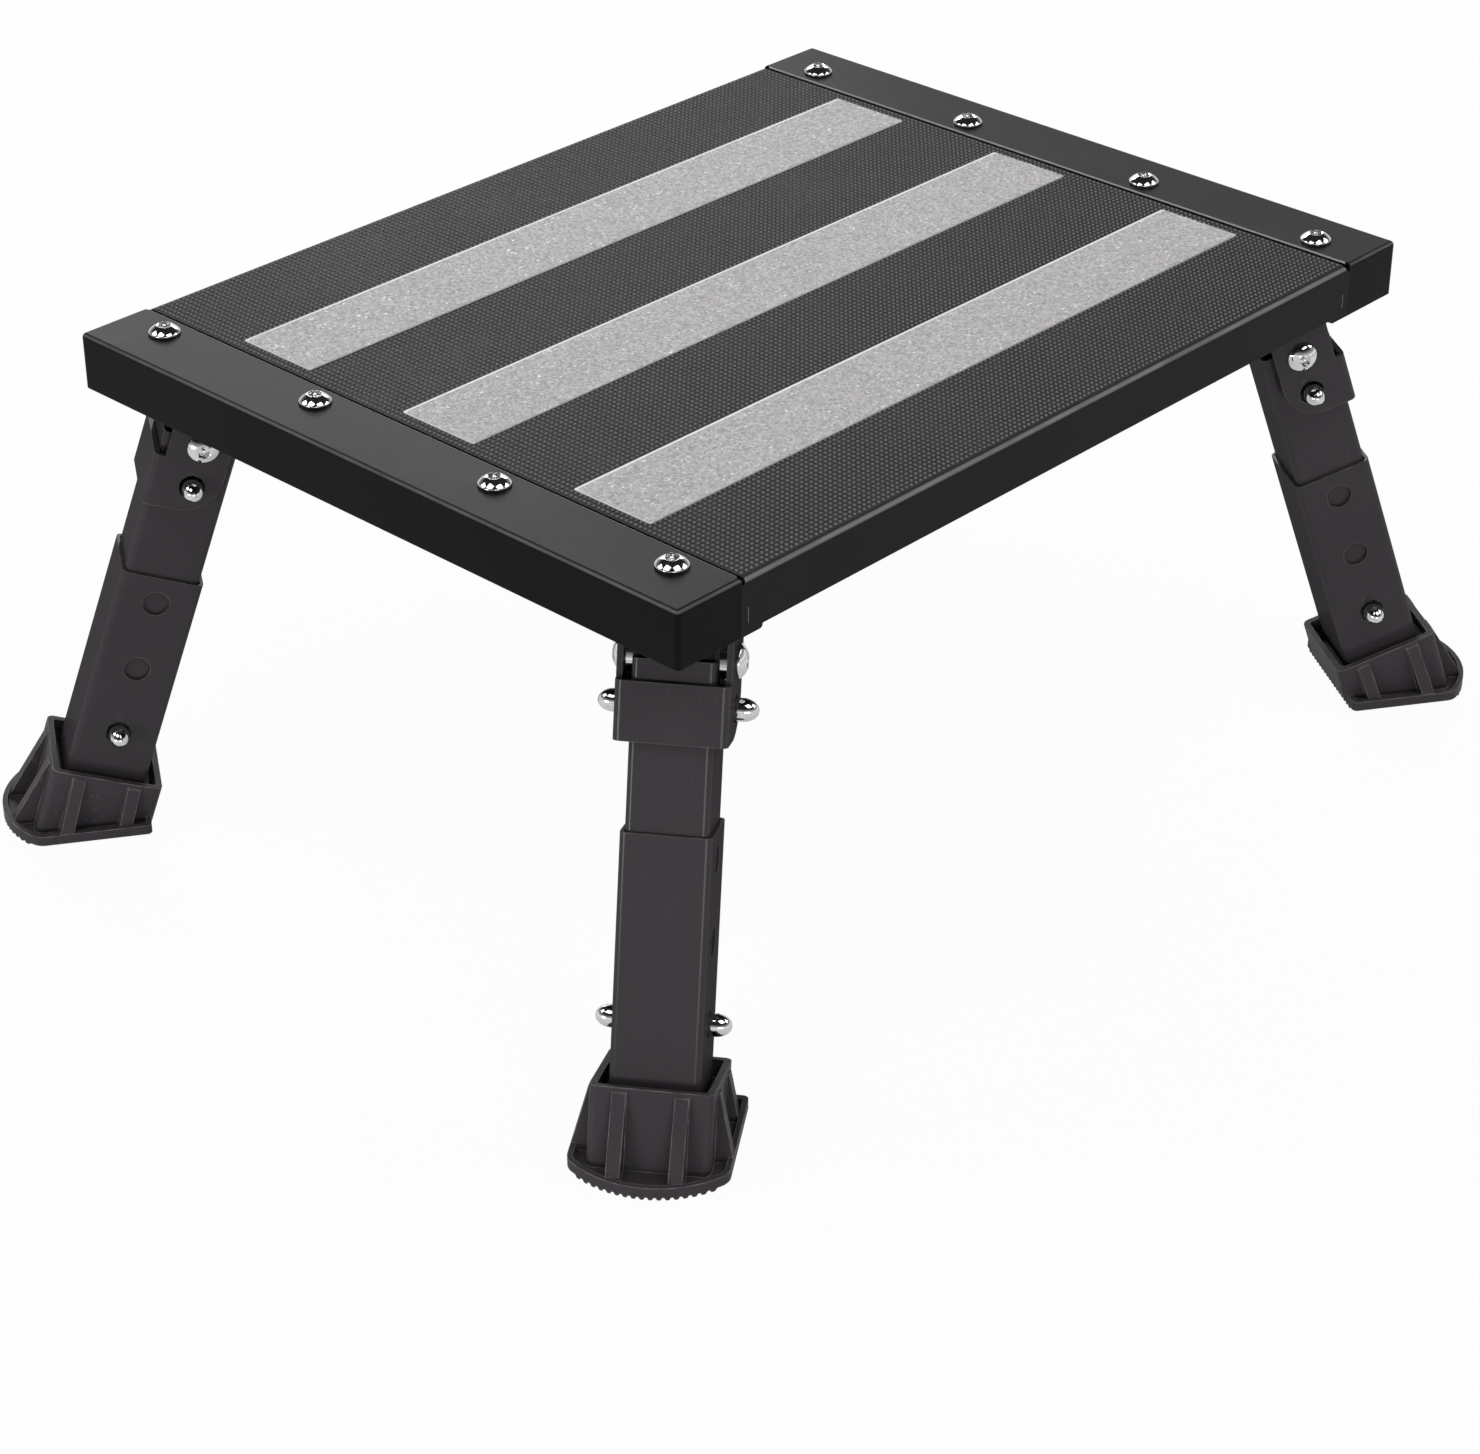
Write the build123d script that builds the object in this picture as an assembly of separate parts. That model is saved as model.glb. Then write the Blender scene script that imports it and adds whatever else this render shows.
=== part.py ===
from build123d import *
import os
from math import atan2, cos, degrees, hypot, radians, sin

# Folding caravan entry step: a sheet platform on four telescopic legs that fold inwards.
# Millimetres, +Z up, origin on the floor under the middle of the platform.
# +X runs along the long side; the front is at -Y. Legs are unfolded, at their shortest setting.

# Platform
platform_length = 483.0
platform_width = 368.0
cap_depth = 36.5
cap_wall = 26.5
cap_sheet = 1.5
cap_proud = 0.7
cap_inner_bend = 0.6
tread_sheet = 1.5
tread_inner_bend = 1.6
seam_gap = 1.8
skirt_step = 2.0
tab_length = 11.9
tab_corner = 1.6
hem_width = 12.0
joggle_overlap = 3.0
tongue_side_gap = 4.0
relief_diameter = 3.4
relief_depth = 4.0
slit_offset = 3.7
slit_width = 0.7
slit_height = 7.2
slit_rise = 8.9
rail_sheet = 2.0
rail_inner_bend = 1.5
rail_cover = 2.0
rail_notch_gap = 1.0
stiffener_sheet = 1.2
stiffener_width = 34.0
stiffener_depth = 12.0
stiffener_flange = 11.0
stiffener_offset = 60.0
stiffener_inner_bend = 1.5
stiffener_end_gap = 2.0
fit_gap = 0.3

# Grip strips
strip_width = 44.0
strip_thickness = 0.8
strip_corner = 0.9
strip_spacing = 103.5
strip_end_gap = 6.7

# Cap screws and pivot bolts
bolt_diameter = 8.0
bolt_fit = 0.15
head_diameter = 14.5
head_height = 4.6
head_edge = 1.2
socket_size = 5.0
socket_depth = 2.6
socket_pin = 1.8
nut_size = 13.0
nut_height = 6.5
nut_chamfer = 0.8
thread_beyond = 2.5
thread_chamfer = 0.8
screw_seam_offset = 11.0
screw_side_inset = 27.5
screw_pair_spacing = 111.0
pivot_screw = 5.0
pivot_screw_length = 22.0
barrel_gap = 0.5

# Leg stance
leg_tilt = 19.0
leg_splay = 34.5
pivot_inset_x = 35.5
pivot_inset_y = 33.0

# Leg tubes
lower_tube = 38.0
lower_wall = 1.5
upper_wall = 1.5
slide_gap = 0.25
tube_inner_corner = 1.5
neck = 37.7
setting_pitch = 35.0
setting_count = 3
setting_top_margin = 13.0
setting_bottom_margin = 39.0
tube_tail = 17.0
ear_radius = 12.0
wall_top = 1.5
pivot_clearance = 0.08

# Brackets
bracket_sheet = 2.5
bracket_inner_bend = 1.0
bracket_back = 13.0
bracket_corner = 18.0
bracket_margin = 12.3
plate_top = 7.4
plate_setback = 5.0
stop_gap = 0.3
side_gap = 3.75
swing_clearance = 1.2
spacer_wall = 7.6
spacer_gap = 0.3

# Snap buttons and their springs
button_diameter = 9.8
button_clearance = 0.3
lock_clearance = 1.1
button_proud = 9.6
button_dome = 6.8
collar_lip = 1.75
collar_thickness = 1.4
seat_gap = 0.1
fold_lock = 20.0
spring_sheet = 0.8
spring_width = 10.0
spring_pad = 5.5
spring_reach = 40.0
spring_apex = 6.0
spring_inner_bend = 0.9

# Feet
foot_flange = 8.0
foot_side = 25.0
foot_arc = 15.0
foot_corner = 8.0
foot_heel_corner = 2.5
foot_rim_width = 2.4
foot_rim_height = 6.0
foot_base = 3.4
foot_floor = 5.8
socket_wall = 3.0
socket_mouth_gap = 4.0
socket_fit = 0.1
socket_corner = 0.5
foot_socket = 17.0
foot_seat = 9.0
rib_width = 6.0
rib_offset = 13.0
rib_top_drop = 2.0
rib_top_proud = 1.0
rib_slope = 4.0
ridge_pitch = 3.5
ridge_depth = 1.2
ridge_crest = 1.3
ridge_root = 2.7

# Levels and sizes that follow from the above
tilt = radians(leg_tilt)
splay = radians(leg_splay)
upper_tube = lower_tube - 2 * (lower_wall + slide_gap)
upper_half = upper_tube / 2
lower_half = lower_tube / 2
bracket_reach = fold_lock + bracket_margin
lower_top = bracket_reach + neck
height_lock = lower_top + setting_top_margin + (setting_count - 1) * setting_pitch
lower_end = height_lock + setting_bottom_margin
upper_end = height_lock + tube_tail
pivot_z = lower_end * cos(tilt) + lower_half * sin(tilt) + foot_floor
swing_radius = max(ear_radius, hypot(upper_half, wall_top))
pivot_below = bracket_sheet + swing_radius + swing_clearance
cap_bottom = pivot_z + pivot_below
step_height = cap_bottom + cap_wall
half_length = platform_length / 2
half_width = platform_width / 2
tongue_top = step_height - cap_sheet
tongue_bottom = tongue_top - tread_sheet
tread_top = step_height - cap_proud
tread_bottom = tread_top - tread_sheet
skirt_bottom = cap_bottom + skirt_step
seam_x = half_length - cap_depth
tread_end = seam_x - seam_gap
tab_x = seam_x - tab_length
screw_x = seam_x + screw_seam_offset
screw_rows = [screw_pair_spacing / 2, half_width - screw_side_inset]
screw_ys = [side * row for side in (-1, 1) for row in screw_rows]
rail_outer = half_length - cap_sheet - fit_gap
rail_half_width = half_width - cap_sheet - fit_gap
pivot_x = half_length - pivot_inset_x
pivot_y = half_width - pivot_inset_y
cheek_inner = upper_half + side_gap
cheek_outer = cheek_inner + bracket_sheet
plate_outer = upper_half + stop_gap + bracket_sheet
web_top = pivot_below
web_bottom = web_top - bracket_sheet
bolt_radius = bolt_diameter / 2
button_radius = button_diameter / 2
lock_radius = button_radius + lock_clearance
socket_half = lower_half + socket_mouth_gap + socket_wall
foot_half_width = socket_half + foot_flange
FAR = 400.0
CORNERS = [
    ("front_left", -1, -1),
    ("front_right", 1, -1),
    ("back_left", -1, 1),
    ("back_right", 1, 1),
]
ENDS = [("left", -1), ("right", 1)]


def block(x0, x1, y0, y1, z0, z1):
    """A box between the given limits."""
    return Pos((x0 + x1) / 2, (y0 + y1) / 2, (z0 + z1) / 2) * Box(x1 - x0, y1 - y0, z1 - z0)


def bent_sheet(points, bend, thickness, side):
    """The section of a folded sheet; the points lie on one of its surfaces."""
    path = FilletPolyline(*points, radius=bend)
    return make_face(path.offset_2d(thickness, side=side))


def cross_pin(radius, half_span, s):
    """A cylinder across the leg at distance s down its axis."""
    return Pos(0, 0, -s) * Rot(90, 0, 0) * Cylinder(radius, 2 * half_span)


def tilted(shape):
    """A shape drawn along a vertical leg, brought to the leg's slope."""
    return Rot(0, -leg_tilt, 0) * shape


def at_corner(shape, side_x, side_y):
    """A shape drawn about the pivot, brought to one corner of the platform."""
    heading = degrees(atan2(side_y * sin(splay), side_x * cos(splay)))
    return Pos(side_x * pivot_x, side_y * pivot_y, pivot_z) * Rot(0, 0, heading) * shape


def at_end(shape, side_x):
    """A shape drawn for the right end of the platform, mirrored for the left."""
    if side_x > 0:
        return shape
    return mirror(shape, about=Plane.YZ)


def both_ends(shape):
    """A shape drawn for the right end, and its mirror image at the left."""
    return [shape, mirror(shape, about=Plane.YZ)]


def screw_holes():
    """Clearance holes for the right-hand cap screws, through cap, tongue and rail."""
    depth = cap_sheet + tread_sheet + rail_sheet + nut_height
    hole = Cylinder(bolt_radius + bolt_fit, 2 * depth)
    return [Pos(screw_x, y, step_height) * hole for y in screw_ys]


def corner_reliefs():
    """Round reliefs at both ends of the right-hand seam."""
    inset = relief_diameter / 2
    z = step_height - relief_depth
    bore = Cylinder(inset, 2 * relief_depth, align=(Align.CENTER, Align.CENTER, Align.MIN))
    return [Pos(seam_x - seam_gap / 2, side * (half_width - inset), z) * bore for side in (-1, 1)]


def domed_pin(radius, height, rise):
    """A round pin standing on z = 0 whose top is a dome of the given rise."""
    crown = (radius**2 + rise**2) / (2 * rise)
    ball = Pos(0, 0, height - crown) * Sphere(crown)
    dome = Pos(0, 0, height - rise) * extrude(Circle(radius), rise) & ball
    return extrude(Circle(radius), height - rise) + dome


def rounded_pin(radius, height, rise):
    """A round pin standing on z = 0 whose end is half an ellipsoid of the given rise."""
    end = EllipticalCenterArc((0, height - rise), radius, rise, arc_size=90)
    sides = Polyline((0, height), (0, height - rise), (radius, height - rise))
    dome = revolve(Plane.XZ * make_face([end, sides]), Axis.Z)
    return extrude(Circle(radius), height - rise) + dome


def button_head():
    """A low domed head standing on z = 0 with a pinned hexagon socket."""
    head = domed_pin(head_diameter / 2, head_height, head_height - head_edge)
    hexagon = RegularPolygon(socket_size / 2, 6, major_radius=False) - Circle(socket_pin / 2)
    return head - Pos(0, 0, head_height - socket_depth) * extrude(hexagon, head_height)


def hex_nut(height):
    """A chamfered hexagon nut standing on z = 0 with a plain bore."""
    body = extrude(RegularPolygon(nut_size / 2, 6, major_radius=False), height)
    round_off = extrude(Circle(nut_size / 2 + nut_chamfer), height)
    round_off = chamfer(round_off.edges().filter_by(GeomType.CIRCLE), nut_chamfer)
    return (body & round_off) - Cylinder(bolt_radius + bolt_fit, 4 * height)


def button_screw(grip):
    """A button-head screw with its head on z = 0 and its shank below."""
    length = grip + nut_height + thread_beyond
    shank = Cylinder(bolt_radius, length, align=(Align.CENTER, Align.CENTER, Align.MAX))
    shank = chamfer(shank.edges().group_by(Axis.Z)[0], thread_chamfer)
    return button_head() + shank


def web_corners():
    """Plan outline of the bracket's web about the pivot, along and across the leg."""
    front = (plate_outer - web_top * sin(tilt)) / cos(tilt)
    back = (-bracket_back - web_top * sin(tilt)) / cos(tilt)
    return [(u, w) for u in (back, front) for w in (-cheek_outer, cheek_outer)]


def rail_reach():
    """Distance from the middle of the platform to the rail's inner lower edge."""
    reach = [u * cos(splay) - abs(w) * sin(splay) for u, w in web_corners()]
    return pivot_x + min(reach) - rail_cover


def make_tread():
    """Tread sheet with hemmed skirts, and a joggled tongue under each cap."""
    z0 = skirt_bottom
    hem = half_width - hem_width
    hemmed = [(-hem, z0), (-half_width, z0), (-half_width, tread_top)]
    hemmed = hemmed + [(-y, z) for y, z in reversed(hemmed)]
    bend = tread_inner_bend + tread_sheet
    section = bent_sheet(hemmed, bend, tread_sheet, Side.RIGHT)
    panel = extrude(Plane.YZ * section, tab_x, both=True)
    plain = [(-half_width, z0), (-half_width, tread_top), (half_width, tread_top), (half_width, z0)]
    section = bent_sheet(plain, bend, tread_sheet, Side.RIGHT)
    panel += extrude(Plane.YZ * section, seam_x, both=True)
    tab = block(tab_x, seam_x, -half_width, half_width, cap_bottom, skirt_bottom + 2 * tab_corner)
    tab = fillet(tab.edges().filter_by(Axis.Y).group_by(Axis.Z)[0].sort_by(Axis.X)[0], tab_corner)
    tab -= block(0, FAR, -half_width + tread_sheet, half_width - tread_sheet, 0, FAR)
    tongue_half = half_width - cap_sheet - tongue_side_gap
    tongue_end = rail_outer - cap_inner_bend - fit_gap
    tongue = block(
        tread_end - joggle_overlap, tongue_end, -tongue_half, tongue_half, tongue_bottom, tongue_top
    )
    tongue -= screw_holes()
    panel -= both_ends(block(tread_end, FAR, -FAR, FAR, tongue_top, FAR))
    panel += both_ends(tab) + both_ends(tongue)
    slit_z = cap_bottom + slit_rise
    slit_x = seam_x - slit_offset
    slit = block(
        slit_x - slit_width / 2,
        slit_x + slit_width / 2,
        -FAR,
        FAR,
        slit_z - slit_height / 2,
        slit_z + slit_height / 2,
    )
    for cut in [slit] + corner_reliefs():
        panel -= both_ends(cut)
    return panel


def cap_block(x0, inset, z0, corner):
    """A block inset from the right-hand cap's outline, its end and top edges rounded."""
    y1 = half_width - inset
    body = block(x0, half_length - inset, -y1, y1, z0, step_height - inset)
    body = fillet(body.edges().filter_by(Axis.Z).group_by(Axis.X)[-1], corner)
    rim = body.faces().sort_by(Axis.Z)[-1].edges()
    return fillet(rim - rim.group_by(Axis.X)[0], corner)


def make_end_cap():
    """Folded sheet over the platform's end, open below and towards the tread."""
    shell = cap_block(seam_x, 0, cap_bottom, cap_inner_bend + cap_sheet)
    shell -= cap_block(0, cap_sheet, 0, cap_inner_bend)
    return shell - screw_holes() - corner_reliefs()


def make_end_rail():
    """Channel inside the cap: the brackets are under it and the screws hold its top flange."""
    top_reach = screw_x - nut_size / 2 - rail_cover
    line = [
        (rail_reach(), cap_bottom),
        (rail_outer, cap_bottom),
        (rail_outer, tongue_bottom),
        (top_reach, tongue_bottom),
    ]
    section = bent_sheet(line, rail_inner_bend + rail_sheet, rail_sheet, Side.LEFT)
    rail = extrude(Plane.XZ * section, rail_half_width, both=True)
    notch_y = half_width - hem_width - rail_notch_gap
    for side in (-1, 1):
        y0, y1 = sorted((side * notch_y, side * FAR))
        rail -= block(0, tab_x + rail_notch_gap, y0, y1, 0, FAR)
    return rail - screw_holes()


def make_stiffener(side_y):
    """Hat section under the tread, between the two tongues."""
    half = stiffener_width / 2
    line = [
        (-half - stiffener_flange, tread_bottom),
        (-half, tread_bottom),
        (-half, tread_bottom - stiffener_depth),
    ]
    line = line + [(-y, z) for y, z in reversed(line)]
    bend = stiffener_inner_bend + stiffener_sheet
    section = bent_sheet(line, bend, stiffener_sheet, Side.RIGHT)
    reach = tread_end - joggle_overlap - stiffener_end_gap
    return Pos(0, side_y * stiffener_offset, 0) * extrude(Plane.YZ * section, reach, both=True)


def make_strip(row):
    """Anti-slip strip on the tread."""
    length = 2 * (tread_end - strip_end_gap)
    outline = RectangleRounded(length, strip_width, strip_corner)
    return Pos(0, row * strip_spacing, tread_top) * extrude(outline, strip_thickness)


def make_cap_screws():
    """Screws down through the right-hand cap, tongue and rail."""
    grip = cap_sheet + tread_sheet + rail_sheet
    return [Pos(screw_x, y, step_height) * button_screw(grip) for y in screw_ys]


def make_cap_nuts():
    """Nuts under the right-hand rail's top flange."""
    under = tongue_bottom - rail_sheet
    return [Pos(screw_x, y, under - nut_height) * hex_nut(nut_height) for y in screw_ys]


def below(z):
    """Everything under a level."""
    return block(-FAR, FAR, -FAR, FAR, -FAR, z)


def make_bracket():
    """Cheeks, front plate and web bent from one sheet, open to the inside and below."""
    outline = block(-bracket_back, plate_outer, -cheek_outer, cheek_outer, -bracket_reach, FAR / 2)
    edges = outline.edges()
    lower_back = edges.filter_by(Axis.Y).group_by(Axis.Z)[0].sort_by(Axis.X)[0]
    outline = fillet(lower_back, bracket_corner)
    front = outline.edges().filter_by(Axis.Z).group_by(Axis.X)[-1]
    outline = fillet(front, bracket_inner_bend + bracket_sheet)
    body = tilted(outline) & below(web_top)
    plate_inner = plate_outer - bracket_sheet
    cavity = block(-FAR, plate_inner, -cheek_inner, cheek_inner, -FAR, FAR)
    window = block(0, FAR, -cheek_inner, cheek_inner, -plate_top, FAR)
    relief = block(plate_outer - plate_setback, FAR, -FAR, FAR, -plate_top, FAR)
    body -= tilted(cavity + window + relief) & below(web_bottom)
    body -= tilted(cross_pin(bolt_radius + bolt_fit, FAR, 0))
    return body - tilted(cross_pin(lock_radius, FAR, fold_lock))


def square_tube(size, wall, s0, s1):
    """Square tube between two distances down the leg."""
    outer = RectangleRounded(size, size, tube_inner_corner + wall)
    inner = RectangleRounded(size - 2 * wall, size - 2 * wall, tube_inner_corner)
    return Pos(0, 0, -s1) * extrude(outer - inner, s1 - s0)


def make_upper_tube():
    """Inner tube: two ears round the pivot, holes for both clips' buttons."""
    tube = square_tube(upper_tube, upper_wall, -ear_radius, upper_end)
    top = block(-FAR, FAR, -FAR, FAR, wall_top, FAR) - cross_pin(ear_radius, 2 * FAR, 0)
    tube -= top
    tube -= cross_pin(bolt_radius + pivot_clearance, FAR, 0)
    for s in (fold_lock, height_lock):
        tube -= cross_pin(button_radius + button_clearance, FAR, s)
    return tilted(tube)


def make_lower_tube():
    """Outer tube with a pair of holes for each height setting."""
    tube = square_tube(lower_tube, lower_wall, lower_top, lower_end)
    for i in range(setting_count):
        tube -= cross_pin(lock_radius, FAR, height_lock - i * setting_pitch)
    return tilted(tube)


def make_button(tip, s, side):
    """A domed button with a collar inside the upper tube, pointing to local +Y or -Y."""
    outer = upper_half - upper_wall - seat_gap
    inner = outer - collar_thickness
    collar = extrude(Circle(button_radius + collar_lip), collar_thickness)
    button = collar + rounded_pin(button_radius, tip - inner, button_dome)
    return tilted(Pos(0, 0, -s) * Rot(-90 * side, 0, 0) * Pos(0, 0, inner) * button)


def make_spring(s, direction):
    """A V clip of spring strip; its apex lies down the leg for direction 1, up it for -1."""
    pad = upper_half - upper_wall - seat_gap - collar_thickness - seat_gap
    apex = s + direction * spring_reach
    line = [
        (pad, -s + direction * spring_pad),
        (pad, -s - direction * spring_pad),
        (spring_apex / 2, -apex),
    ]
    line = line + [(-y, z) for y, z in reversed(line)]
    side = Side.RIGHT if direction > 0 else Side.LEFT
    section = bent_sheet(line, spring_inner_bend + spring_sheet, spring_sheet, side)
    return tilted(extrude(Plane.YZ * section, spring_width / 2, both=True))


def make_foot():
    """A D-shaped foot with a sloping socket, drawn about the pivot with the floor below."""
    axis_x = pivot_z * sin(tilt) / cos(tilt)
    heel = -socket_half / cos(tilt)
    w = foot_half_width
    sides = Polyline((foot_side, -w), (heel, -w), (heel, w), (foot_side, w))
    arc = ThreePointArc((foot_side, w), (foot_side + foot_arc, 0), (foot_side, -w))
    outline = make_face(sides + arc)
    corners = outline.vertices().sort_by(Axis.X)
    outline = fillet(corners[-2:], foot_corner)
    corners = outline.vertices().sort_by(Axis.X)
    outline = fillet(corners[:2], foot_heel_corner)
    hollow = offset(outline, -foot_rim_width)
    base = extrude(outline, foot_rim_height) - Pos(0, 0, foot_base) * extrude(hollow, FAR)
    base -= below(ridge_depth)
    ridges = int((w - ridge_root) / ridge_pitch)
    crest = Polyline(
        (-ridge_root / 2, ridge_depth),
        (-ridge_crest / 2, 0),
        (ridge_crest / 2, 0),
        (ridge_root / 2, ridge_depth),
        close=True,
    )
    bar = extrude(Plane.YZ * make_face(crest), FAR, both=True)
    sole = extrude(outline, ridge_depth)
    base += [sole & Pos(0, i * ridge_pitch, 0) * bar for i in range(-ridges, ridges + 1)]
    rim_s = lower_end - foot_socket
    shell = block(-socket_half, socket_half, -socket_half, socket_half, -FAR, -rim_s)
    shell = fillet(shell.edges().filter_by(Axis.Z), socket_corner + socket_wall)
    rib_top = -rim_s - rib_top_drop
    drop = rib_slope * foot_half_width
    rib = Polyline(
        (0, rib_top),
        (socket_half + rib_top_proud, rib_top),
        (socket_half + rib_top_proud + foot_half_width, rib_top - drop),
        (0, rib_top - drop),
        close=True,
    )
    rib = extrude(Plane.XZ * make_face(rib), rib_width / 2, both=True)
    spots = [(turn, side) for turn in (-90, 0, 90) for side in (-1, 1)]
    ribs = [Rot(0, 0, turn) * Pos(0, side * rib_offset, 0) * rib for turn, side in spots]
    to_floor = Pos(-axis_x, 0, pivot_z)
    above_sole = block(-FAR, FAR, -FAR, FAR, ridge_depth, FAR)
    foot = base + (to_floor * tilted(shell) & above_sole)
    foot += [to_floor * tilted(rib) & extrude(outline, FAR) & above_sole for rib in ribs]
    mouth_half = lower_half + socket_mouth_gap
    mouth = Pos(0, 0, -lower_end + foot_seat) * extrude(
        RectangleRounded(2 * mouth_half, 2 * mouth_half, socket_corner + tube_inner_corner), FAR
    )
    seat_size = lower_tube + 2 * socket_fit
    seat_corner = tube_inner_corner + lower_wall + socket_fit
    seat = Pos(0, 0, -lower_end) * extrude(
        RectangleRounded(seat_size, seat_size, seat_corner), foot_seat
    )
    foot -= to_floor * tilted(mouth + seat)
    return Pos(axis_x, 0, -pivot_z) * foot


def make_pivot_bolt():
    """Barrel bolt across the leg with its head outside the cheek at local +Y."""
    reach = 2 * cheek_outer - barrel_gap
    barrel = Cylinder(bolt_radius, reach, align=(Align.CENTER, Align.CENTER, Align.MAX))
    bore = Pos(0, 0, -reach) * Cylinder(pivot_screw / 2 + bolt_fit, 2 * pivot_screw_length)
    bolt = button_head() + barrel - bore
    return tilted(Rot(-90, 0, 0) * Pos(0, 0, cheek_outer) * bolt)


def make_pivot_screw():
    """Screw in the barrel bolt's end with its head outside the cheek at local -Y."""
    shank = Cylinder(pivot_screw / 2, pivot_screw_length, align=(Align.CENTER, Align.CENTER, Align.MAX))
    return tilted(Rot(90, 0, 0) * Pos(0, 0, cheek_outer) * (button_head() + shank))


def make_spacer():
    """Spacer ring against the cheek at local +Y."""
    length = side_gap - spacer_gap
    ring = Cylinder(bolt_radius + spacer_wall, length) - Cylinder(bolt_radius + bolt_fit, length)
    return tilted(Rot(-90, 0, 0) * Pos(0, 0, cheek_inner - length / 2) * ring)


def save(name, shape):
    """Write one node, a solid or a list of them."""
    if isinstance(shape, list):
        shape = Compound(children=shape)
    export_step(shape, f"parts/{name}.step")


def build_platform():
    save("tread_panel", make_tread())
    parts = [
        ("end_cap", [make_end_cap()]),
        ("end_rail", [make_end_rail()]),
        ("cap_screws", make_cap_screws()),
        ("cap_nuts", make_cap_nuts()),
    ]
    for end, side_x in ENDS:
        for name, shapes in parts:
            shapes = [at_end(shape, side_x) for shape in shapes]
            save(f"{name}_{end}", shapes if len(shapes) > 1 else shapes[0])
    save("tread_stiffener_front", make_stiffener(-1))
    save("tread_stiffener_back", make_stiffener(1))
    for name, row in (("front", -1), ("middle", 0), ("back", 1)):
        save(f"grip_strip_{name}", make_strip(row))


def build_legs():
    fold_tip = cheek_outer + button_proud
    height_tip = lower_half + button_proud
    pieces = {
        "bracket": make_bracket(),
        "upper_tube": make_upper_tube(),
        "lower_tube": make_lower_tube(),
        "foot": make_foot(),
        "fold_spring": make_spring(fold_lock, 1),
        "height_spring": make_spring(height_lock, -1),
    }
    fasteners = {
        "pivot_bolts": [make_pivot_bolt()],
        "pivot_screws": [make_pivot_screw()],
        "pivot_spacers": [make_spacer(), Rot(0, 0, 180) * make_spacer()],
    }
    for corner, side_x, side_y in CORNERS:
        for name, shape in pieces.items():
            save(f"{name}_{corner}", at_corner(shape, side_x, side_y))
        for label, side in (("side", side_x * side_y), ("end", -side_x * side_y)):
            for kind, tip, s in (("fold", fold_tip, fold_lock), ("height", height_tip, height_lock)):
                button = make_button(tip, s, side)
                save(f"{kind}_button_{label}_{corner}", at_corner(button, side_x, side_y))
    for name, shapes in fasteners.items():
        group = []
        for corner, side_x, side_y in CORNERS:
            turn = Rot(0, 0, 0 if side_x < 0 else 180)
            group += [at_corner(turn * shape, side_x, side_y) for shape in shapes]
        save(name, group)


os.makedirs("parts", exist_ok=True)
build_platform()
build_legs()
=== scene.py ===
"""Folding caravan entry step: finishes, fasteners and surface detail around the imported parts.

The classes hold their sizes in millimetres, and meshes are brought to metres as they are finished.
Finishes, lamps, the floor's size and the camera's clip are in metres, as Blender takes them.
"""

import logging
import math
import random
from dataclasses import dataclass, replace
from enum import Enum
from functools import cache
from typing import Iterable, Sequence, Union

import bmesh
import bpy
from bmesh.types import BMEdge, BMesh, BMVert
from bpy.types import Material, Node, NodeSocket, NodeTree
from mathutils import Matrix, Vector


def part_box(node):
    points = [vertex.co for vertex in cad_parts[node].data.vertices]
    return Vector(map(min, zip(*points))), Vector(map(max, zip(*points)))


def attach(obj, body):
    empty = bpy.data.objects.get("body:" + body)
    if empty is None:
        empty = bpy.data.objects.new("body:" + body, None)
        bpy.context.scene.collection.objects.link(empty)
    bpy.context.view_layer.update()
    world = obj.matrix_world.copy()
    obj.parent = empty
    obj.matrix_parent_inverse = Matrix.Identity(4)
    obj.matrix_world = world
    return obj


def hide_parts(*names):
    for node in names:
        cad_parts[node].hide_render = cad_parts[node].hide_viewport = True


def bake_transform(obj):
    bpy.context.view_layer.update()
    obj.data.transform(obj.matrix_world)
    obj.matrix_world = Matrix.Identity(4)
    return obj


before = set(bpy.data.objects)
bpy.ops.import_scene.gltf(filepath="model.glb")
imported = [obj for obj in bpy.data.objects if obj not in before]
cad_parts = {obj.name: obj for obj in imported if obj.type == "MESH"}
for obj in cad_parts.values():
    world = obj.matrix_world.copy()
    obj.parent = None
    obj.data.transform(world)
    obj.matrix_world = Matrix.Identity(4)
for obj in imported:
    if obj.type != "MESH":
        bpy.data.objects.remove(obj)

LOG = logging.getLogger("entry_step")
MM = 0.001
PLATFORM = "platform"
WELD = 1e-4
BEVEL_SAMPLES = 6
GRIT_SEED = 11
STRIP_NAMES = ("front", "middle", "back")
BUTTON_SIDES = (("side", 1), ("end", -1))

Colour = tuple[float, float, float, float]
Point = tuple[float, float, float]
Profile = list[tuple[float, float]]
Feed = Union[NodeSocket, float, Sequence[float]]
Sockets = dict[str, NodeSocket]


class Slot(Enum):
    """The record's material slots, kept with each added piece; nothing here assigns them."""

    FRAME = "frame_paint"
    TREAD = "tread_paint"
    CHROME = "chrome"
    SPRING = "spring_steel"
    GRIP = "grip_tape"


class Corner(Enum):
    """The four legs, each with the side of the platform that it stands at."""

    FRONT_LEFT = ("front_left", -1, -1)
    FRONT_RIGHT = ("front_right", 1, -1)
    BACK_LEFT = ("back_left", -1, 1)
    BACK_RIGHT = ("back_right", 1, 1)

    def __init__(self, label: str, side_x: int, side_y: int) -> None:
        """Keep the leg's name and sides.

        Args:
            label: the leg's name in the CAD nodes.
            side_x: -1 at the left end, 1 at the right.
            side_y: -1 at the front, 1 at the back.
        """
        self.label = label
        self.side_x = side_x
        self.side_y = side_y

    def facing(self, sign: int) -> int:
        """The side of the leg's own frame, along Y, that a button's sign stands for."""
        return sign * self.side_x * self.side_y


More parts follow.
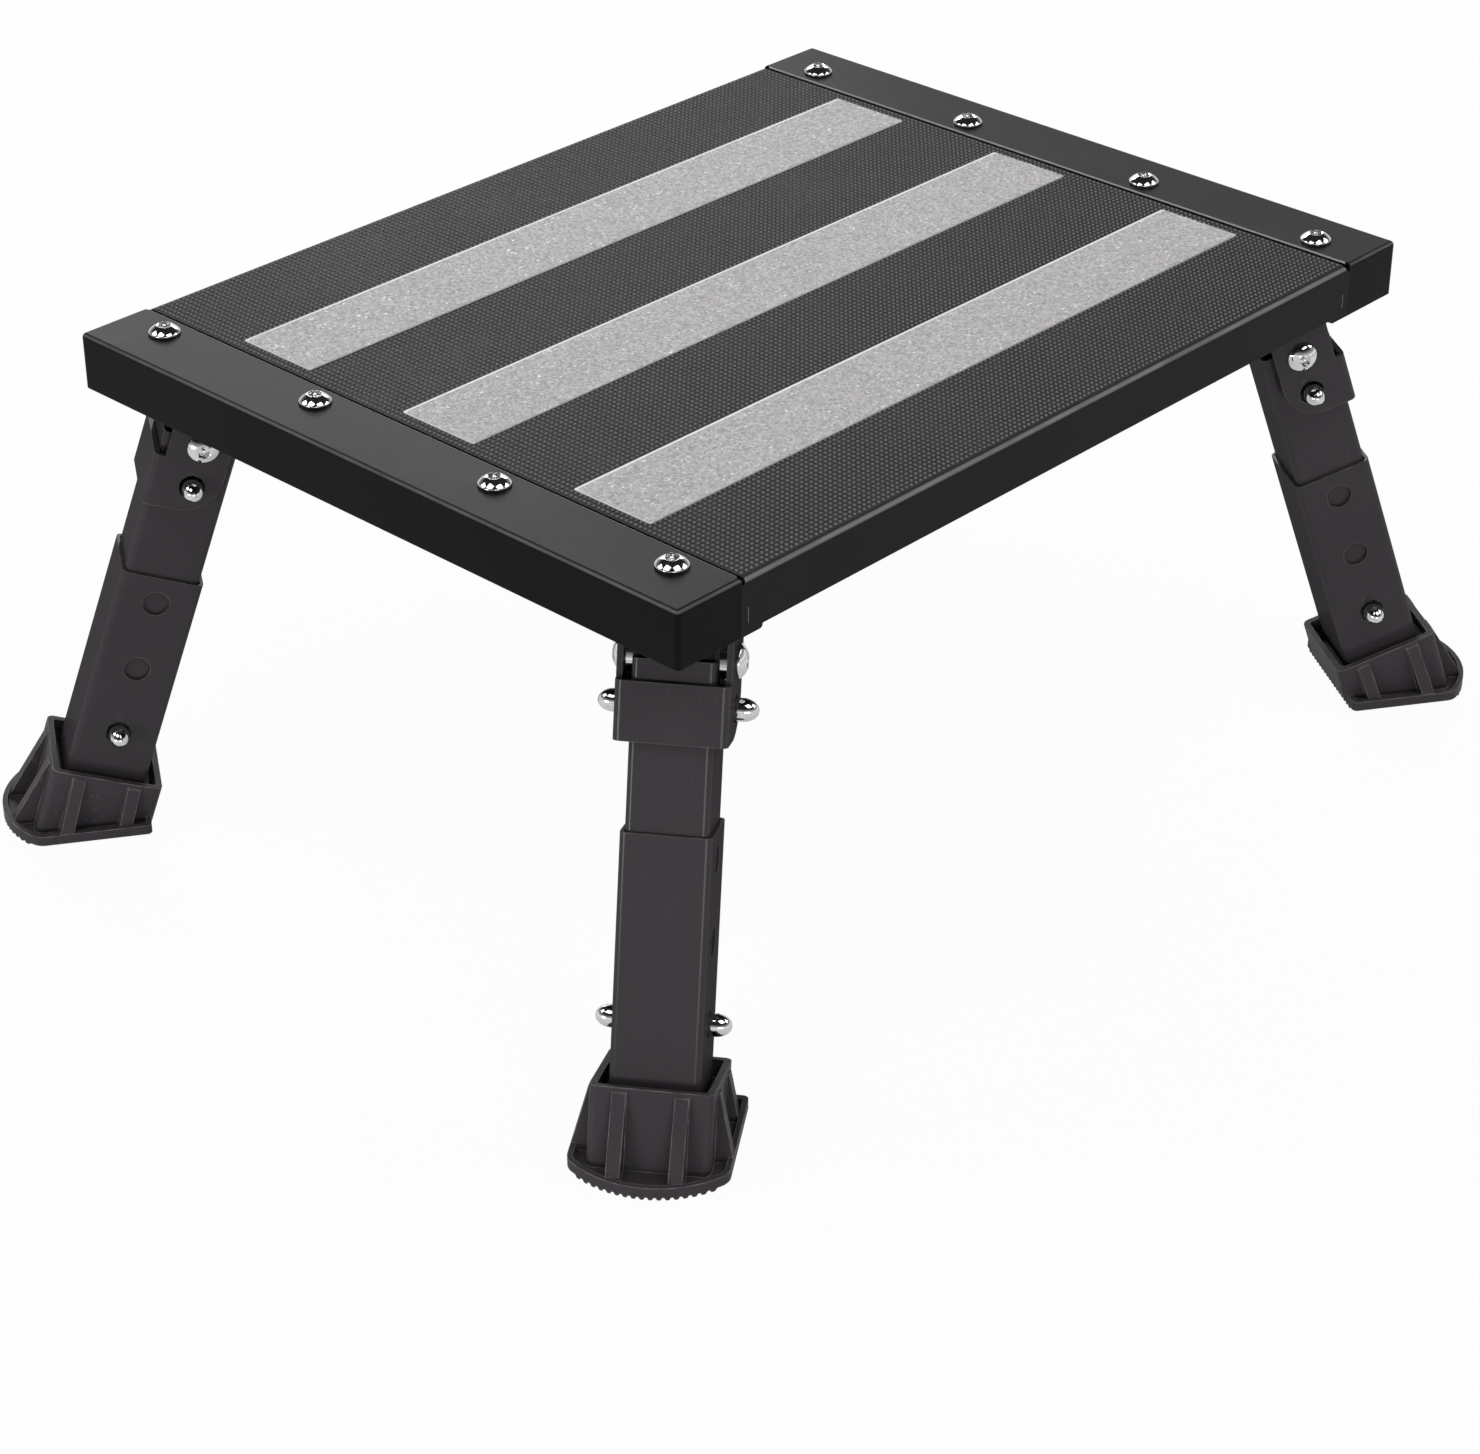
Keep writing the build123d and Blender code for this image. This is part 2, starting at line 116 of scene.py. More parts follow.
def srgb(code: str) -> Colour:
    """A colour written as six hex digits, as the linear values that shaders take.

    Args:
        code: red, green and blue as hex digits.

    Returns:
        The linear colour with full alpha.
    """
    parts = [int(code[i : i + 2], 16) / 255 for i in (0, 2, 4)]
    linear = [c / 12.92 if c <= 0.04045 else ((c + 0.055) / 1.055) ** 2.4 for c in parts]
    return (linear[0], linear[1], linear[2], 1.0)


# Shader graphs


class Graph:
    """A node tree being filled, with short calls to add and join nodes."""

    def __init__(self, tree: NodeTree) -> None:
        """Start from an empty tree.

        Args:
            tree: the tree to fill.
        """
        self.tree = tree
        tree.nodes.clear()

    def join(self, node: Node, feeds: dict) -> None:
        """Join a node's inputs to other sockets, or set their constants.

        Args:
            node: the node.
            feeds: input name or number to constant or socket.
        """
        for key, value in feeds.items():
            if isinstance(value, NodeSocket):
                self.tree.links.new(value, node.inputs[key])
            else:
                node.inputs[key].default_value = value

    def add(self, kind: str, feeds: dict | None = None, **settings: object) -> Node:
        """Add one node.

        Args:
            kind: the node's type name.
            feeds: input name or number to constant or socket.
            settings: the node's own properties.

        Returns:
            The new node.
        """
        node = self.tree.nodes.new(kind)
        for key, value in settings.items():
            setattr(node, key, value)
        self.join(node, feeds or {})
        return node

    def math(self, operation: str, a: Feed, b: Feed = 0.0) -> NodeSocket:
        """The output of a Math node, held between 0 and 1."""
        return self.add("ShaderNodeMath", {0: a, 1: b}, operation=operation, use_clamp=True).outputs[0]

    def blend(self, factor: Feed, a: Feed, b: Feed) -> NodeSocket:
        """The colour between a and b."""
        return self.add("ShaderNodeMix", {0: factor, 6: a, 7: b}, data_type="RGBA").outputs[2]

    def span(
        self, value: Feed, low: float = 0.0, high: float = 1.0, start: float = 0.0, end: float = 1.0
    ) -> NodeSocket:
        """Map a value from low..high to start..end, clamped."""
        feeds = {"Value": value, "From Min": low, "From Max": high, "To Min": start, "To Max": end}
        return self.add("ShaderNodeMapRange", feeds).outputs["Result"]

    def noise(self, where: Feed, scale: Feed, detail: float) -> NodeSocket:
        """A noise value about 0.5."""
        feeds = {"Vector": where, "Scale": scale, "Detail": detail}
        return self.add("ShaderNodeTexNoise", feeds).outputs[0]

    def upward(self) -> NodeSocket:
        """The height of the surface's normal, 1 where it faces up."""
        normal = self.add("ShaderNodeNewGeometry").outputs["Normal"]
        return self.add("ShaderNodeSeparateXYZ", {0: normal}).outputs["Z"]

    def rounded(self, radius: Feed) -> NodeSocket:
        """The normal with sharp edges rounded."""
        return self.add("ShaderNodeBevel", {"Radius": radius}, samples=BEVEL_SAMPLES).outputs["Normal"]


class Effect:
    """A shader node group that several finishes share, built once."""

    name = "effect"
    values: tuple[str, ...] = ()
    results: tuple[str, ...] = ("Mask",)

    def fill(self, graph: Graph, given: Sockets) -> dict[str, Feed]:
        """Fill the group.

        Args:
            graph: the group's tree.
            given: the group's input sockets by name.

        Returns:
            What each output of the group takes.
        """
        raise NotImplementedError

    def group(self) -> NodeTree:
        """The node group, made at its first use."""
        tree = bpy.data.node_groups.get(self.name)
        if tree is not None:
            return tree
        tree = bpy.data.node_groups.new(self.name, "ShaderNodeTree")
        tree.interface.new_socket(name="Coordinates", in_out="INPUT", socket_type="NodeSocketVector")
        for value in self.values:
            tree.interface.new_socket(name=value, in_out="INPUT", socket_type="NodeSocketFloat")
        for result in self.results:
            tree.interface.new_socket(name=result, in_out="OUTPUT", socket_type="NodeSocketFloat")
        graph = Graph(tree)
        start = graph.add("NodeGroupInput")
        end = graph.add("NodeGroupOutput")
        given = {name: start.outputs[name] for name in ("Coordinates", *self.values)}
        graph.join(end, self.fill(graph, given))
        return tree

    def place(self, graph: Graph, where: Feed, **values: float) -> Sockets:
        """Put the group in a material.

        Args:
            graph: the material's tree.
            where: the coordinates that it reads.
            values: the group's other inputs.

        Returns:
            Its outputs by name.
        """
        node = graph.add("ShaderNodeGroup", node_tree=self.group())
        graph.join(node, {"Coordinates": where, **values})
        return {name: node.outputs[name] for name in self.results}


class EdgeWearAndHighlight(Effect):
    """A broken mask along sharp edges, where a coat rubs thin and where edges are painted lighter as a
    painted highlight.
    """

    name = "edge_wear_and_highlight"
    values = ("Width", "Patches")
    sharpness = (0.997, 0.84)
    patchiness = (0.35, 0.62, 0.25, 1.0)

    def fill(self, graph: Graph, given: Sockets) -> dict[str, Feed]:
        """Compare the rounded normal with the true one, and break the result up."""
        normals = {0: graph.rounded(given["Width"]), 1: graph.add("ShaderNodeNewGeometry").outputs["Normal"]}
        alike = graph.add("ShaderNodeVectorMath", normals, operation="DOT_PRODUCT").outputs["Value"]
        patch = graph.span(graph.noise(given["Coordinates"], given["Patches"], 3.0), *self.patchiness)
        return {"Mask": graph.math("MULTIPLY", graph.span(alike, *self.sharpness), patch)}


class PowderGrain(Effect):
    """The fine peel of a baked or moulded skin, and slow drifts of tone over it."""

    name = "powder_grain"
    values = ("Peel", "Drift")
    results = ("Height", "Tone", "Gloss")
    tones = (0.3, 0.7)
    glosses = (0.6, 1.0)

    def fill(self, graph: Graph, given: Sockets) -> dict[str, Feed]:
        """Two sizes of noise."""
        fine = graph.noise(given["Coordinates"], given["Peel"], 2.0)
        slow = graph.noise(given["Coordinates"], given["Drift"], 4.0)
        return {
            "Height": fine,
            "Tone": graph.span(slow, *self.tones),
            "Gloss": graph.span(graph.math("ADD", fine, slow), *self.glosses),
        }


class SettledDust(Effect):
    """Dust that lies on what faces up, in soft patches."""

    name = "settled_dust"
    values = ("Patches",)
    slopes = (0.3, 0.95)
    patchiness = (0.42, 0.75)

    def fill(self, graph: Graph, given: Sockets) -> dict[str, Feed]:
        """A mask from the normal's height and noise."""
        level = graph.span(graph.upward(), *self.slopes)
        patch = graph.span(graph.noise(given["Coordinates"], given["Patches"], 6.0), *self.patchiness)
        return {"Mask": graph.math("MULTIPLY", level, patch)}


class BendHighlight(Effect):
    """A soft mask on bends between a top and its sides, for a painted highlight along the bends."""

    name = "bend_highlight"
    values = ("Patches",)
    rise = (0.30, 0.55)
    fall = (0.80, 0.94, 1.0, 0.0)
    patchiness = (0.3, 0.6, 0.7, 1.0)

    def fill(self, graph: Graph, given: Sockets) -> dict[str, Feed]:
        """A band of the normal's height, a little broken up."""
        height = graph.upward()
        band = graph.math("MULTIPLY", graph.span(height, *self.rise), graph.span(height, *self.fall))
        patch = graph.span(graph.noise(given["Coordinates"], given["Patches"], 3.0), *self.patchiness)
        return {"Mask": graph.math("MULTIPLY", band, patch)}


class SeamBand(Effect):
    """What lies on either side of a distance from the middle along X, above a level."""

    name = "seam_band"
    values = ("Reach", "Level")
    results = ("Inside", "Beyond")

    def fill(self, graph: Graph, given: Sockets) -> dict[str, Feed]:
        """Compare the place with the reach and the level."""
        place = graph.add("ShaderNodeSeparateXYZ", {0: given["Coordinates"]}).outputs
        away = graph.math("ABSOLUTE", place["X"])
        above = graph.math("GREATER_THAN", place["Z"], given["Level"])
        return {
            "Inside": graph.math("MULTIPLY", graph.math("LESS_THAN", away, given["Reach"]), above),
            "Beyond": graph.math("MULTIPLY", graph.math("GREATER_THAN", away, given["Reach"]), above),
        }


class Scuffs(Effect):
    """Sparse fine scratches that run two ways over a coat."""

    name = "scuffs"
    values = ("Density",)
    turns = (0.35, -0.9)
    lean = (0.2, 0.3)
    stretch = (1.0, 40.0, 12.0)
    thinness = (0.66, 0.74)
    patch_scale = 9.0
    patchiness = (0.48, 0.68)

    def fill(self, graph: Graph, given: Sockets) -> dict[str, Feed]:
        """Two drawn-out noises cut down to thin lines."""
        lines = []
        for turn in self.turns:
            feeds = {0: given["Coordinates"], "Rotation": (*self.lean, turn), "Scale": self.stretch}
            along = graph.add("ShaderNodeMapping", feeds).outputs[0]
            lines.append(graph.span(graph.noise(along, given["Density"], 3.0), *self.thinness))
        patch = graph.span(graph.noise(given["Coordinates"], self.patch_scale, 2.0), *self.patchiness)
        return {"Mask": graph.math("MULTIPLY", graph.math("MAXIMUM", *lines), patch)}


class Grit(Effect):
    """Packed mineral grains: a tone for each, its relief, and the few that flash."""

    name = "grit"
    values = ("Grains",)
    results = ("Tone", "Height", "Flash")
    flashing = (0.965, 0.995)

    def fill(self, graph: Graph, given: Sockets) -> dict[str, Feed]:
        """Cells for the grains, each with its own tone and chance to flash."""
        feeds = {"Vector": given["Coordinates"], "Scale": given["Grains"]}
        cells = graph.add("ShaderNodeTexVoronoi", feeds)
        shade = graph.add("ShaderNodeSeparateColor", {0: cells.outputs["Color"]})
        return {
            "Tone": shade.outputs[0],
            "Height": graph.math("SUBTRACT", 1.0, cells.outputs["Distance"]),
            "Flash": graph.span(shade.outputs[1], *self.flashing),
        }


class Handling(Effect):
    """Haze and fine wipe marks on bright metal."""

    name = "handling"
    values = ("Haze",)
    stretch = (9.0, 1.0, 1.0)
    haziness = (0.15, 0.45)

    def fill(self, graph: Graph, given: Sockets) -> dict[str, Feed]:
        """Soft blotches crossed by drawn-out noise."""
        blotch = graph.noise(given["Coordinates"], given["Haze"], 4.0)
        wiped = graph.add("ShaderNodeMapping", {0: given["Coordinates"], "Scale": self.stretch})
        marks = graph.noise(wiped.outputs[0], given["Haze"], 8.0)
        return {"Mask": graph.span(graph.math("MULTIPLY", blotch, marks), *self.haziness)}


EDGE_WEAR_AND_HIGHLIGHT = EdgeWearAndHighlight()
POWDER_GRAIN = PowderGrain()
SETTLED_DUST = SettledDust()
BEND_HIGHLIGHT = BendHighlight()
SEAM_BAND = SeamBand()
SCUFFS = Scuffs()
GRIT = Grit()
HANDLING = Handling()


# Finishes


def new_material(name: str) -> tuple[Material, Graph, Node, NodeSocket]:
    """A material with a Principled shader joined to its output.

    Args:
        name: the material's name.

    Returns:
        The material, its graph, the shader and the Object coordinates.
    """
    material = bpy.data.materials.new(name)
    material.use_nodes = True
    graph = Graph(material.node_tree)
    shader = graph.add("ShaderNodeBsdfPrincipled")
    graph.add("ShaderNodeOutputMaterial", {"Surface": shader.outputs[0]})
    where = graph.add("ShaderNodeTexCoord").outputs["Object"]
    return material, graph, shader, where


@dataclass(frozen=True)
class CoatFinish:
    """A painted or moulded skin with peel, a little dust, and sharp edges painted lighter as wear and as
    painted highlight.

    The seam edge's painted highlight and the seam's painted shade are each given by a reach along X and a
    level.
    """

    name: str
    colour: Colour
    drift_colour: Colour
    worn_and_highlight_colour: Colour
    dust_colour: Colour
    gloss_level: float
    wear_and_highlight_width: float
    edge_round: float = 0.0003
    dust_share: float = 0.06
    roughness: tuple[float, float] = (0.36, 0.48)
    peel_scale: float = 1500.0
    peel_height: float = 0.00004
    peel_strength: float = 0.6
    drift_scale: float = 14.0
    wear_and_highlight_patches: float = 160.0
    dust_patches: float = 26.0
    scuff_density: float = 22.0
    scuff_share: float = 0.12
    gloss_tint: Colour = srgb("fff6ff")
    bend_highlight_colour: Colour = srgb("777477")
    bend_highlight_share: float = 0.0
    bend_highlight_patches: float = 40.0
    seam_edge_highlight_colour: Colour = srgb("cecbce")
    seam_edge_highlight: tuple[float, float] | None = None
    seam_shade_colour: Colour = srgb("030303")
    seam_shade: tuple[float, float] | None = None
    lacquer: float = 0.0
    lacquer_roughness: float = 0.16
    lacquer_fade: float = 0.1
    lacquer_turn: tuple[float, float] = (0.5, 0.85)

    def varnish(self, graph: Graph, shader: Node) -> None:
        """A thin clear layer that shows less where it is seen edge-on.

        Args:
            graph: the material's tree.
            shader: the shader that it lies on.
        """
        facing = graph.add("ShaderNodeLayerWeight", {"Blend": 0.5}).outputs["Facing"]
        weight = graph.span(facing, *self.lacquer_turn, self.lacquer, self.lacquer * self.lacquer_fade)
        graph.join(shader, {"Coat Weight": weight, "Coat Roughness": self.lacquer_roughness})

    def material(self) -> Material:
        """Build the material."""
        material, graph, shader, where = new_material(self.name)
        wear_and_highlight = EDGE_WEAR_AND_HIGHLIGHT.place(graph, where, Width=self.wear_and_highlight_width, Patches=self.wear_and_highlight_patches)["Mask"]
        grain = POWDER_GRAIN.place(graph, where, Peel=self.peel_scale, Drift=self.drift_scale)
        dust = SETTLED_DUST.place(graph, where, Patches=self.dust_patches)["Mask"]
        scuff = SCUFFS.place(graph, where, Density=self.scuff_density)["Mask"]
        dulled = graph.span(scuff, end=self.scuff_share)
        colour = graph.blend(grain["Tone"], self.colour, self.drift_colour)
        # Sharp edges and scuffs take the worn colour: wear, and on the edges also a painted highlight.
        colour = graph.blend(graph.math("MAXIMUM", wear_and_highlight, dulled), colour, self.worn_and_highlight_colour)
        # Painted highlight: bends are painted lighter where they would catch the light.
        if self.bend_highlight_share:
            bend = BEND_HIGHLIGHT.place(graph, where, Patches=self.bend_highlight_patches)["Mask"]
            colour = graph.blend(graph.span(bend, end=self.bend_highlight_share), colour, self.bend_highlight_colour)
        # Painted highlight: the caps' sheet edge at each seam is painted near white, as if it caught the
        # light.
        if self.seam_edge_highlight:
            reach, level = self.seam_edge_highlight
            seam_edge_highlight_mask = SEAM_BAND.place(graph, where, Reach=reach, Level=level)["Inside"]
            colour = graph.blend(seam_edge_highlight_mask, colour, self.seam_edge_highlight_colour)
        # Painted shade: the tread's ends at the seams are painted near black and made rough, in place of the
        # shadow in the seam gap.
        if self.seam_shade:
            reach, level = self.seam_shade
            seam_shade_mask = SEAM_BAND.place(graph, where, Reach=reach, Level=level)["Beyond"]
            colour = graph.blend(seam_shade_mask, colour, self.seam_shade_colour)
            dulled = graph.math("MAXIMUM", dulled, seam_shade_mask)
        if self.lacquer:
            self.varnish(graph, shader)
        smooth, rough = self.roughness
        sheen = graph.span(grain["Gloss"], start=smooth, end=rough)
        bump = {"Height": grain["Height"], "Normal": graph.rounded(self.edge_round)}
        bump |= {"Strength": self.peel_strength, "Distance": self.peel_height}
        feeds = {
            "Base Color": graph.blend(graph.span(dust, end=self.dust_share), colour, self.dust_colour),
            "Roughness": graph.math("ADD", sheen, dulled),
            "Specular IOR Level": self.gloss_level,
            "Specular Tint": self.gloss_tint,
            "Normal": graph.add("ShaderNodeBump", bump).outputs[0],
        }
        graph.join(shader, feeds)
        return material


@dataclass(frozen=True)
class BrightFinish:
    """Polished or drawn metal with haze from handling."""

    name: str
    colour: Colour
    dull_colour: Colour
    roughness: tuple[float, float]
    edge_round: float = 0.0001
    haze_scale: float = 120.0

    def material(self) -> Material:
        """Build the material."""
        material, graph, shader, where = new_material(self.name)
        haze = HANDLING.place(graph, where, Haze=self.haze_scale)["Mask"]
        smooth, rough = self.roughness
        feeds = {
            "Base Color": graph.blend(haze, self.colour, self.dull_colour),
            "Roughness": graph.span(haze, start=smooth, end=rough),
            "Metallic": 1.0,
            "Normal": graph.rounded(self.edge_round),
        }
        graph.join(shader, feeds)
        return material


@dataclass(frozen=True)
class GritFinish:
    """Silver-grey mineral grit on tape."""

    name: str
    dark: Colour
    light: Colour
    flash: Colour
    grain_scale: float
    grain_height: float
    grain_strength: float = 0.5
    clump_scale: float = 620.0
    clump_range: tuple[float, float] = (0.25, 0.75)
    clump_share: float = 0.45
    drift_scale: float = 22.0
    roughness: tuple[float, float] = (0.72, 0.46)
    flash_metal: float = 0.25

    def material(self) -> Material:
        """Build the material."""
        material, graph, shader, where = new_material(self.name)
        grain = GRIT.place(graph, where, Grains=self.grain_scale)
        drift = POWDER_GRAIN.place(graph, where, Peel=self.clump_scale, Drift=self.drift_scale)
        clump = graph.span(drift["Height"], *self.clump_range)
        mix = {0: self.clump_share, 2: grain["Tone"], 3: clump}
        tone = graph.add("ShaderNodeMix", mix, data_type="FLOAT").outputs[0]
        colour = graph.blend(tone, self.dark, self.light)
        dull, bright = self.roughness
        bump = {"Height": grain["Height"], "Strength": self.grain_strength, "Distance": self.grain_height}
        feeds = {
            "Base Color": graph.blend(grain["Flash"], colour, self.flash),
            "Roughness": graph.span(grain["Flash"], start=dull, end=bright),
            "Metallic": graph.span(grain["Flash"], end=self.flash_metal),
            "Normal": graph.add("ShaderNodeBump", bump).outputs[0],
        }
        graph.join(shader, feeds)
        return material


Finish = Union[CoatFinish, BrightFinish, GritFinish]


@cache
def stocked(finish: Finish) -> Material:
    """The finish's material, built when it is first asked for."""
    return finish.material()


BLACK_COAT = CoatFinish(
    name="black_powder_coat",
    colour=srgb("121012"),
    drift_colour=srgb("161416"),
    worn_and_highlight_colour=srgb("3e3c3e"),
    dust_colour=srgb("565454"),
    dust_share=0.05,
    roughness=(0.27, 0.36),
    gloss_level=0.05,
    wear_and_highlight_width=0.0005,
)
# Caps: painted highlights on their bends and on their sheet edges at the seams.
CAP_COAT = replace(BLACK_COAT, name="cap_powder_coat", bend_highlight_share=0.65, seam_edge_highlight=(0.20508, 0.2402))
LEG_COAT = CoatFinish(
    name="leg_powder_coat",
    colour=srgb("3a363a"),
    drift_colour=srgb("3d393d"),
    worn_and_highlight_colour=srgb("7c797c"),
    dust_colour=srgb("5e5c5c"),
    roughness=(0.26, 0.34),
    gloss_level=0.0,
    wear_and_highlight_width=0.0006,
    edge_round=0.00035,
    lacquer=0.36,
)
TREAD_COAT = CoatFinish(
    name="tread_coat",
    colour=srgb("211f21"),
    drift_colour=srgb("262426"),
    worn_and_highlight_colour=srgb("3a383a"),
    dust_colour=srgb("5c5a5a"),
    roughness=(0.40, 0.52),
    gloss_level=0.06,
    peel_scale=1300.0,
    peel_height=0.00008,
    wear_and_highlight_width=0.0004,
    # Painted highlight along the tread's bends.
    bend_highlight_colour=srgb("8c898c"),
    bend_highlight_share=0.85,
    # Painted shade in the seam gaps at the tread's ends.
    seam_shade=(0.2028, 0.2385),
)
NUB_COAT = CoatFinish(
    name="tread_nub_coat",
    colour=srgb("7c797c"),
    drift_colour=srgb("848184"),
    worn_and_highlight_colour=srgb("a3a0a3"),
    dust_colour=srgb("7d7b7b"),
    dust_share=0.14,
    gloss_level=0.18,
    peel_height=0.00005,
    wear_and_highlight_width=0.0003,
    edge_round=0.0002,
)
FOOT_PLASTIC = CoatFinish(
    name="black_foot_plastic",
    colour=srgb("3f3b3f"),
    drift_colour=srgb("444044"),
    worn_and_highlight_colour=srgb("949194"),
    dust_colour=srgb("5a5857"),
    dust_share=0.08,
    gloss_level=0.10,
    peel_scale=1400.0,
    peel_height=0.00008,
    wear_and_highlight_width=0.0008,
    edge_round=0.0004,
    scuff_share=0.2,
)
# Painted highlight: the near-white film that shows along the strips' back edges.
TAPE_EDGE_HIGHLIGHT = CoatFinish(
    name="tape_edge_highlight",
    colour=srgb("f4f1f4"),
    drift_colour=srgb("eae7ea"),
    worn_and_highlight_colour=srgb("f8f5f8"),
    dust_colour=srgb("c8c6c6"),
    dust_share=0.04,
    roughness=(0.40, 0.55),
    gloss_level=0.3,
    peel_height=0.00002,
    wear_and_highlight_width=0.0002,
    edge_round=0.0001,
    scuff_share=0.02,
)
CHROME = BrightFinish("polished_chrome", srgb("eaeaec"), srgb("d8d8da"), (0.03, 0.09), edge_round=0.0002)
# Painted light: bright steel for the tabs that stand in for the light seen in the skirts' slits.
SLIT_LIGHT_STEEL = BrightFinish("slit_light_steel", srgb("8c8c8e"), srgb("707072"), (0.35, 0.50))
SPRING_STEEL = BrightFinish("spring_steel", srgb("8c8c90"), srgb("6e6d70"), (0.28, 0.42))
GRIP_GRIT = GritFinish(
    name="grip_grit",
    dark=srgb("918e91"),
    light=srgb("dfdcdf"),
    flash=srgb("f6f3f6"),
    grain_scale=1050.0,
    grain_height=0.00018,
)


# Mesh helpers


def only(kind: type, geom: Iterable) -> list:
    """The items of one kind in what an operator returns."""
    return [item for item in geom if isinstance(item, kind)]


def raised(height: float) -> Matrix:
    """A move up along Z."""
    return Matrix.Translation((0.0, 0.0, height))


def turned(degrees: float, axis: str) -> Matrix:
    """A turn about X, Y or Z."""
    return Matrix.Rotation(math.radians(degrees), 4, axis)


def lathe(bm: BMesh, profile: Profile, steps: int) -> None:
    """Turn an open profile about Z.

    Args:
        bm: the mesh that it is added to.
        profile: radius and height of each point.
        steps: how many faces go round.
    """
    verts = [bm.verts.new((radius, 0.0, height)) for radius, height in profile]
    edges = [bm.edges.new(pair) for pair in zip(verts, verts[1:])]
    bmesh.ops.spin(
        bm,
        geom=verts + edges,
        cent=(0.0, 0.0, 0.0),
        axis=(0.0, 0.0, 1.0),
        dvec=(0.0, 0.0, 0.0),
        angle=math.tau,
        steps=steps,
        use_merge=True,
    )
    bmesh.ops.remove_doubles(bm, verts=bm.verts[:], dist=WELD)


def loop(bm: BMesh, sides: int, cuts: int, radius: float, height: float) -> list[BMEdge]:
    """A flat closed loop of edges about Z.

    Args:
        bm: the mesh that it is added to.
        sides: corners of the loop.
        cuts: how many times each side is cut.
        radius: distance of the corners from Z.
        height: level of the loop.

    Returns:
        The loop's edges.
    """
    before = set(bm.edges)
    bmesh.ops.create_circle(bm, cap_ends=False, segments=sides, radius=radius, matrix=raised(height))
    if cuts:
        made = [edge for edge in bm.edges if edge not in before]
        bmesh.ops.subdivide_edges(bm, edges=made, cuts=cuts)
    return [edge for edge in bm.edges if edge not in before]


def drawn(bm: BMesh, edges: list[BMEdge], rise: float, grow: float) -> list[BMEdge]:
    """Extrude a loop along Z and scale the new loop about Z.

    Args:
        bm: the mesh.
        edges: the loop.
        rise: how far the new loop stands above it.
        grow: the new loop's scale in X and Y.

    Returns:
        The new loop's edges.
    """
    made = bmesh.ops.extrude_edge_only(bm, edges=edges)["geom"]
    verts = only(BMVert, made)
    bmesh.ops.scale(bm, verts=verts, vec=(grow, grow, 1.0))
    bmesh.ops.translate(bm, verts=verts, vec=(0.0, 0.0, rise))
    fresh = set(verts)
    return [edge for edge in only(BMEdge, made) if fresh.issuperset(edge.verts)]


def tile(bm: BMesh, count: int, step: Vector) -> None:
    """Repeat all of a mesh along a step.

    Args:
        bm: the mesh, its first copy about the origin.
        count: how many copies there are at the end.
        step: from one copy to the next.
    """
    made = 1
    along = step.normalized()
    while made < count:
        reach = (min(made, count - made) - 0.5) * step.length
        faces = [face for face in bm.faces if face.calc_center_median().dot(along) < reach]
        copy = bmesh.ops.duplicate(bm, geom=faces)["geom"]
        bmesh.ops.translate(bm, verts=only(BMVert, copy), vec=step * made)
        made = min(2 * made, count)


def ease(bm: BMesh, geom: list, offset: float, segments: int, affect: str = "EDGES") -> None:
    """Round edges or corners off.

    Args:
        bm: the mesh.
        geom: the edges or corners.
        offset: how far the rounding reaches.
        segments: faces across it.
        affect: EDGES or VERTICES.
    """
    bmesh.ops.bevel(
        bm,
        geom=geom,
        offset=offset,
        offset_type="OFFSET",
        affect=affect,
        segments=segments,
        profile=0.5,
        material=-1,
    )


def settle(bm: BMesh) -> None:
    """Merge doubles and turn every face outwards."""
    bmesh.ops.remove_doubles(bm, verts=bm.verts[:], dist=WELD)
    bmesh.ops.recalc_face_normals(bm, faces=bm.faces[:])


def merge_copy(target: BMesh, source: BMesh, place: Matrix) -> None:
    """Add a placed copy of one mesh to another.

    Args:
        target: the mesh that grows.
        source: the mesh that is copied.
        place: where the copy goes.
    """
    holder = bpy.data.meshes.new("holder")
    source.to_mesh(holder)
    holder.transform(place)
    target.from_mesh(holder)
    bpy.data.meshes.remove(holder)


@dataclass(frozen=True)
class Bend:
    """A second body with a start and an end point, kept for a springy piece; nothing here makes the piece
    follow them.
    """

    body: str
    start: Vector
    end: Vector


@dataclass
class Piece:
    """One finished object of the scene."""

    name: str
    body: str
    slot: Slot
    finishes: Sequence[Finish]
    stands_for: Sequence[str] = ()
    sharp_angle: float = 40.0
    bend: Bend | None = None

    def finish(self, bm: BMesh) -> None:
        """Bring the mesh to metres, dress it and put it on its body; a piece with a bend is baked in place
        instead.

        Args:
            bm: the piece in millimetres, in its place; it is freed.
        """
        bm.transform(Matrix.Scale(MM, 4))
        mesh = bpy.data.meshes.new(self.name)
        bm.to_mesh(mesh)
        bm.free()
        mesh.shade_smooth()
        mesh.set_sharp_from_angle(angle=math.radians(self.sharp_angle))
        for finish in self.finishes:
            mesh.materials.append(stocked(finish))
        thing = bpy.data.objects.new(self.name, mesh)
        bpy.context.scene.collection.objects.link(thing)
        if self.bend:
            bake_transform(thing)
        else:
            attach(thing, self.body)
        if self.stands_for:
            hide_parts(*self.stands_for)
        LOG.info("%s on %s: %d faces", self.name, self.body, len(mesh.polygons))


# Sub-assemblies


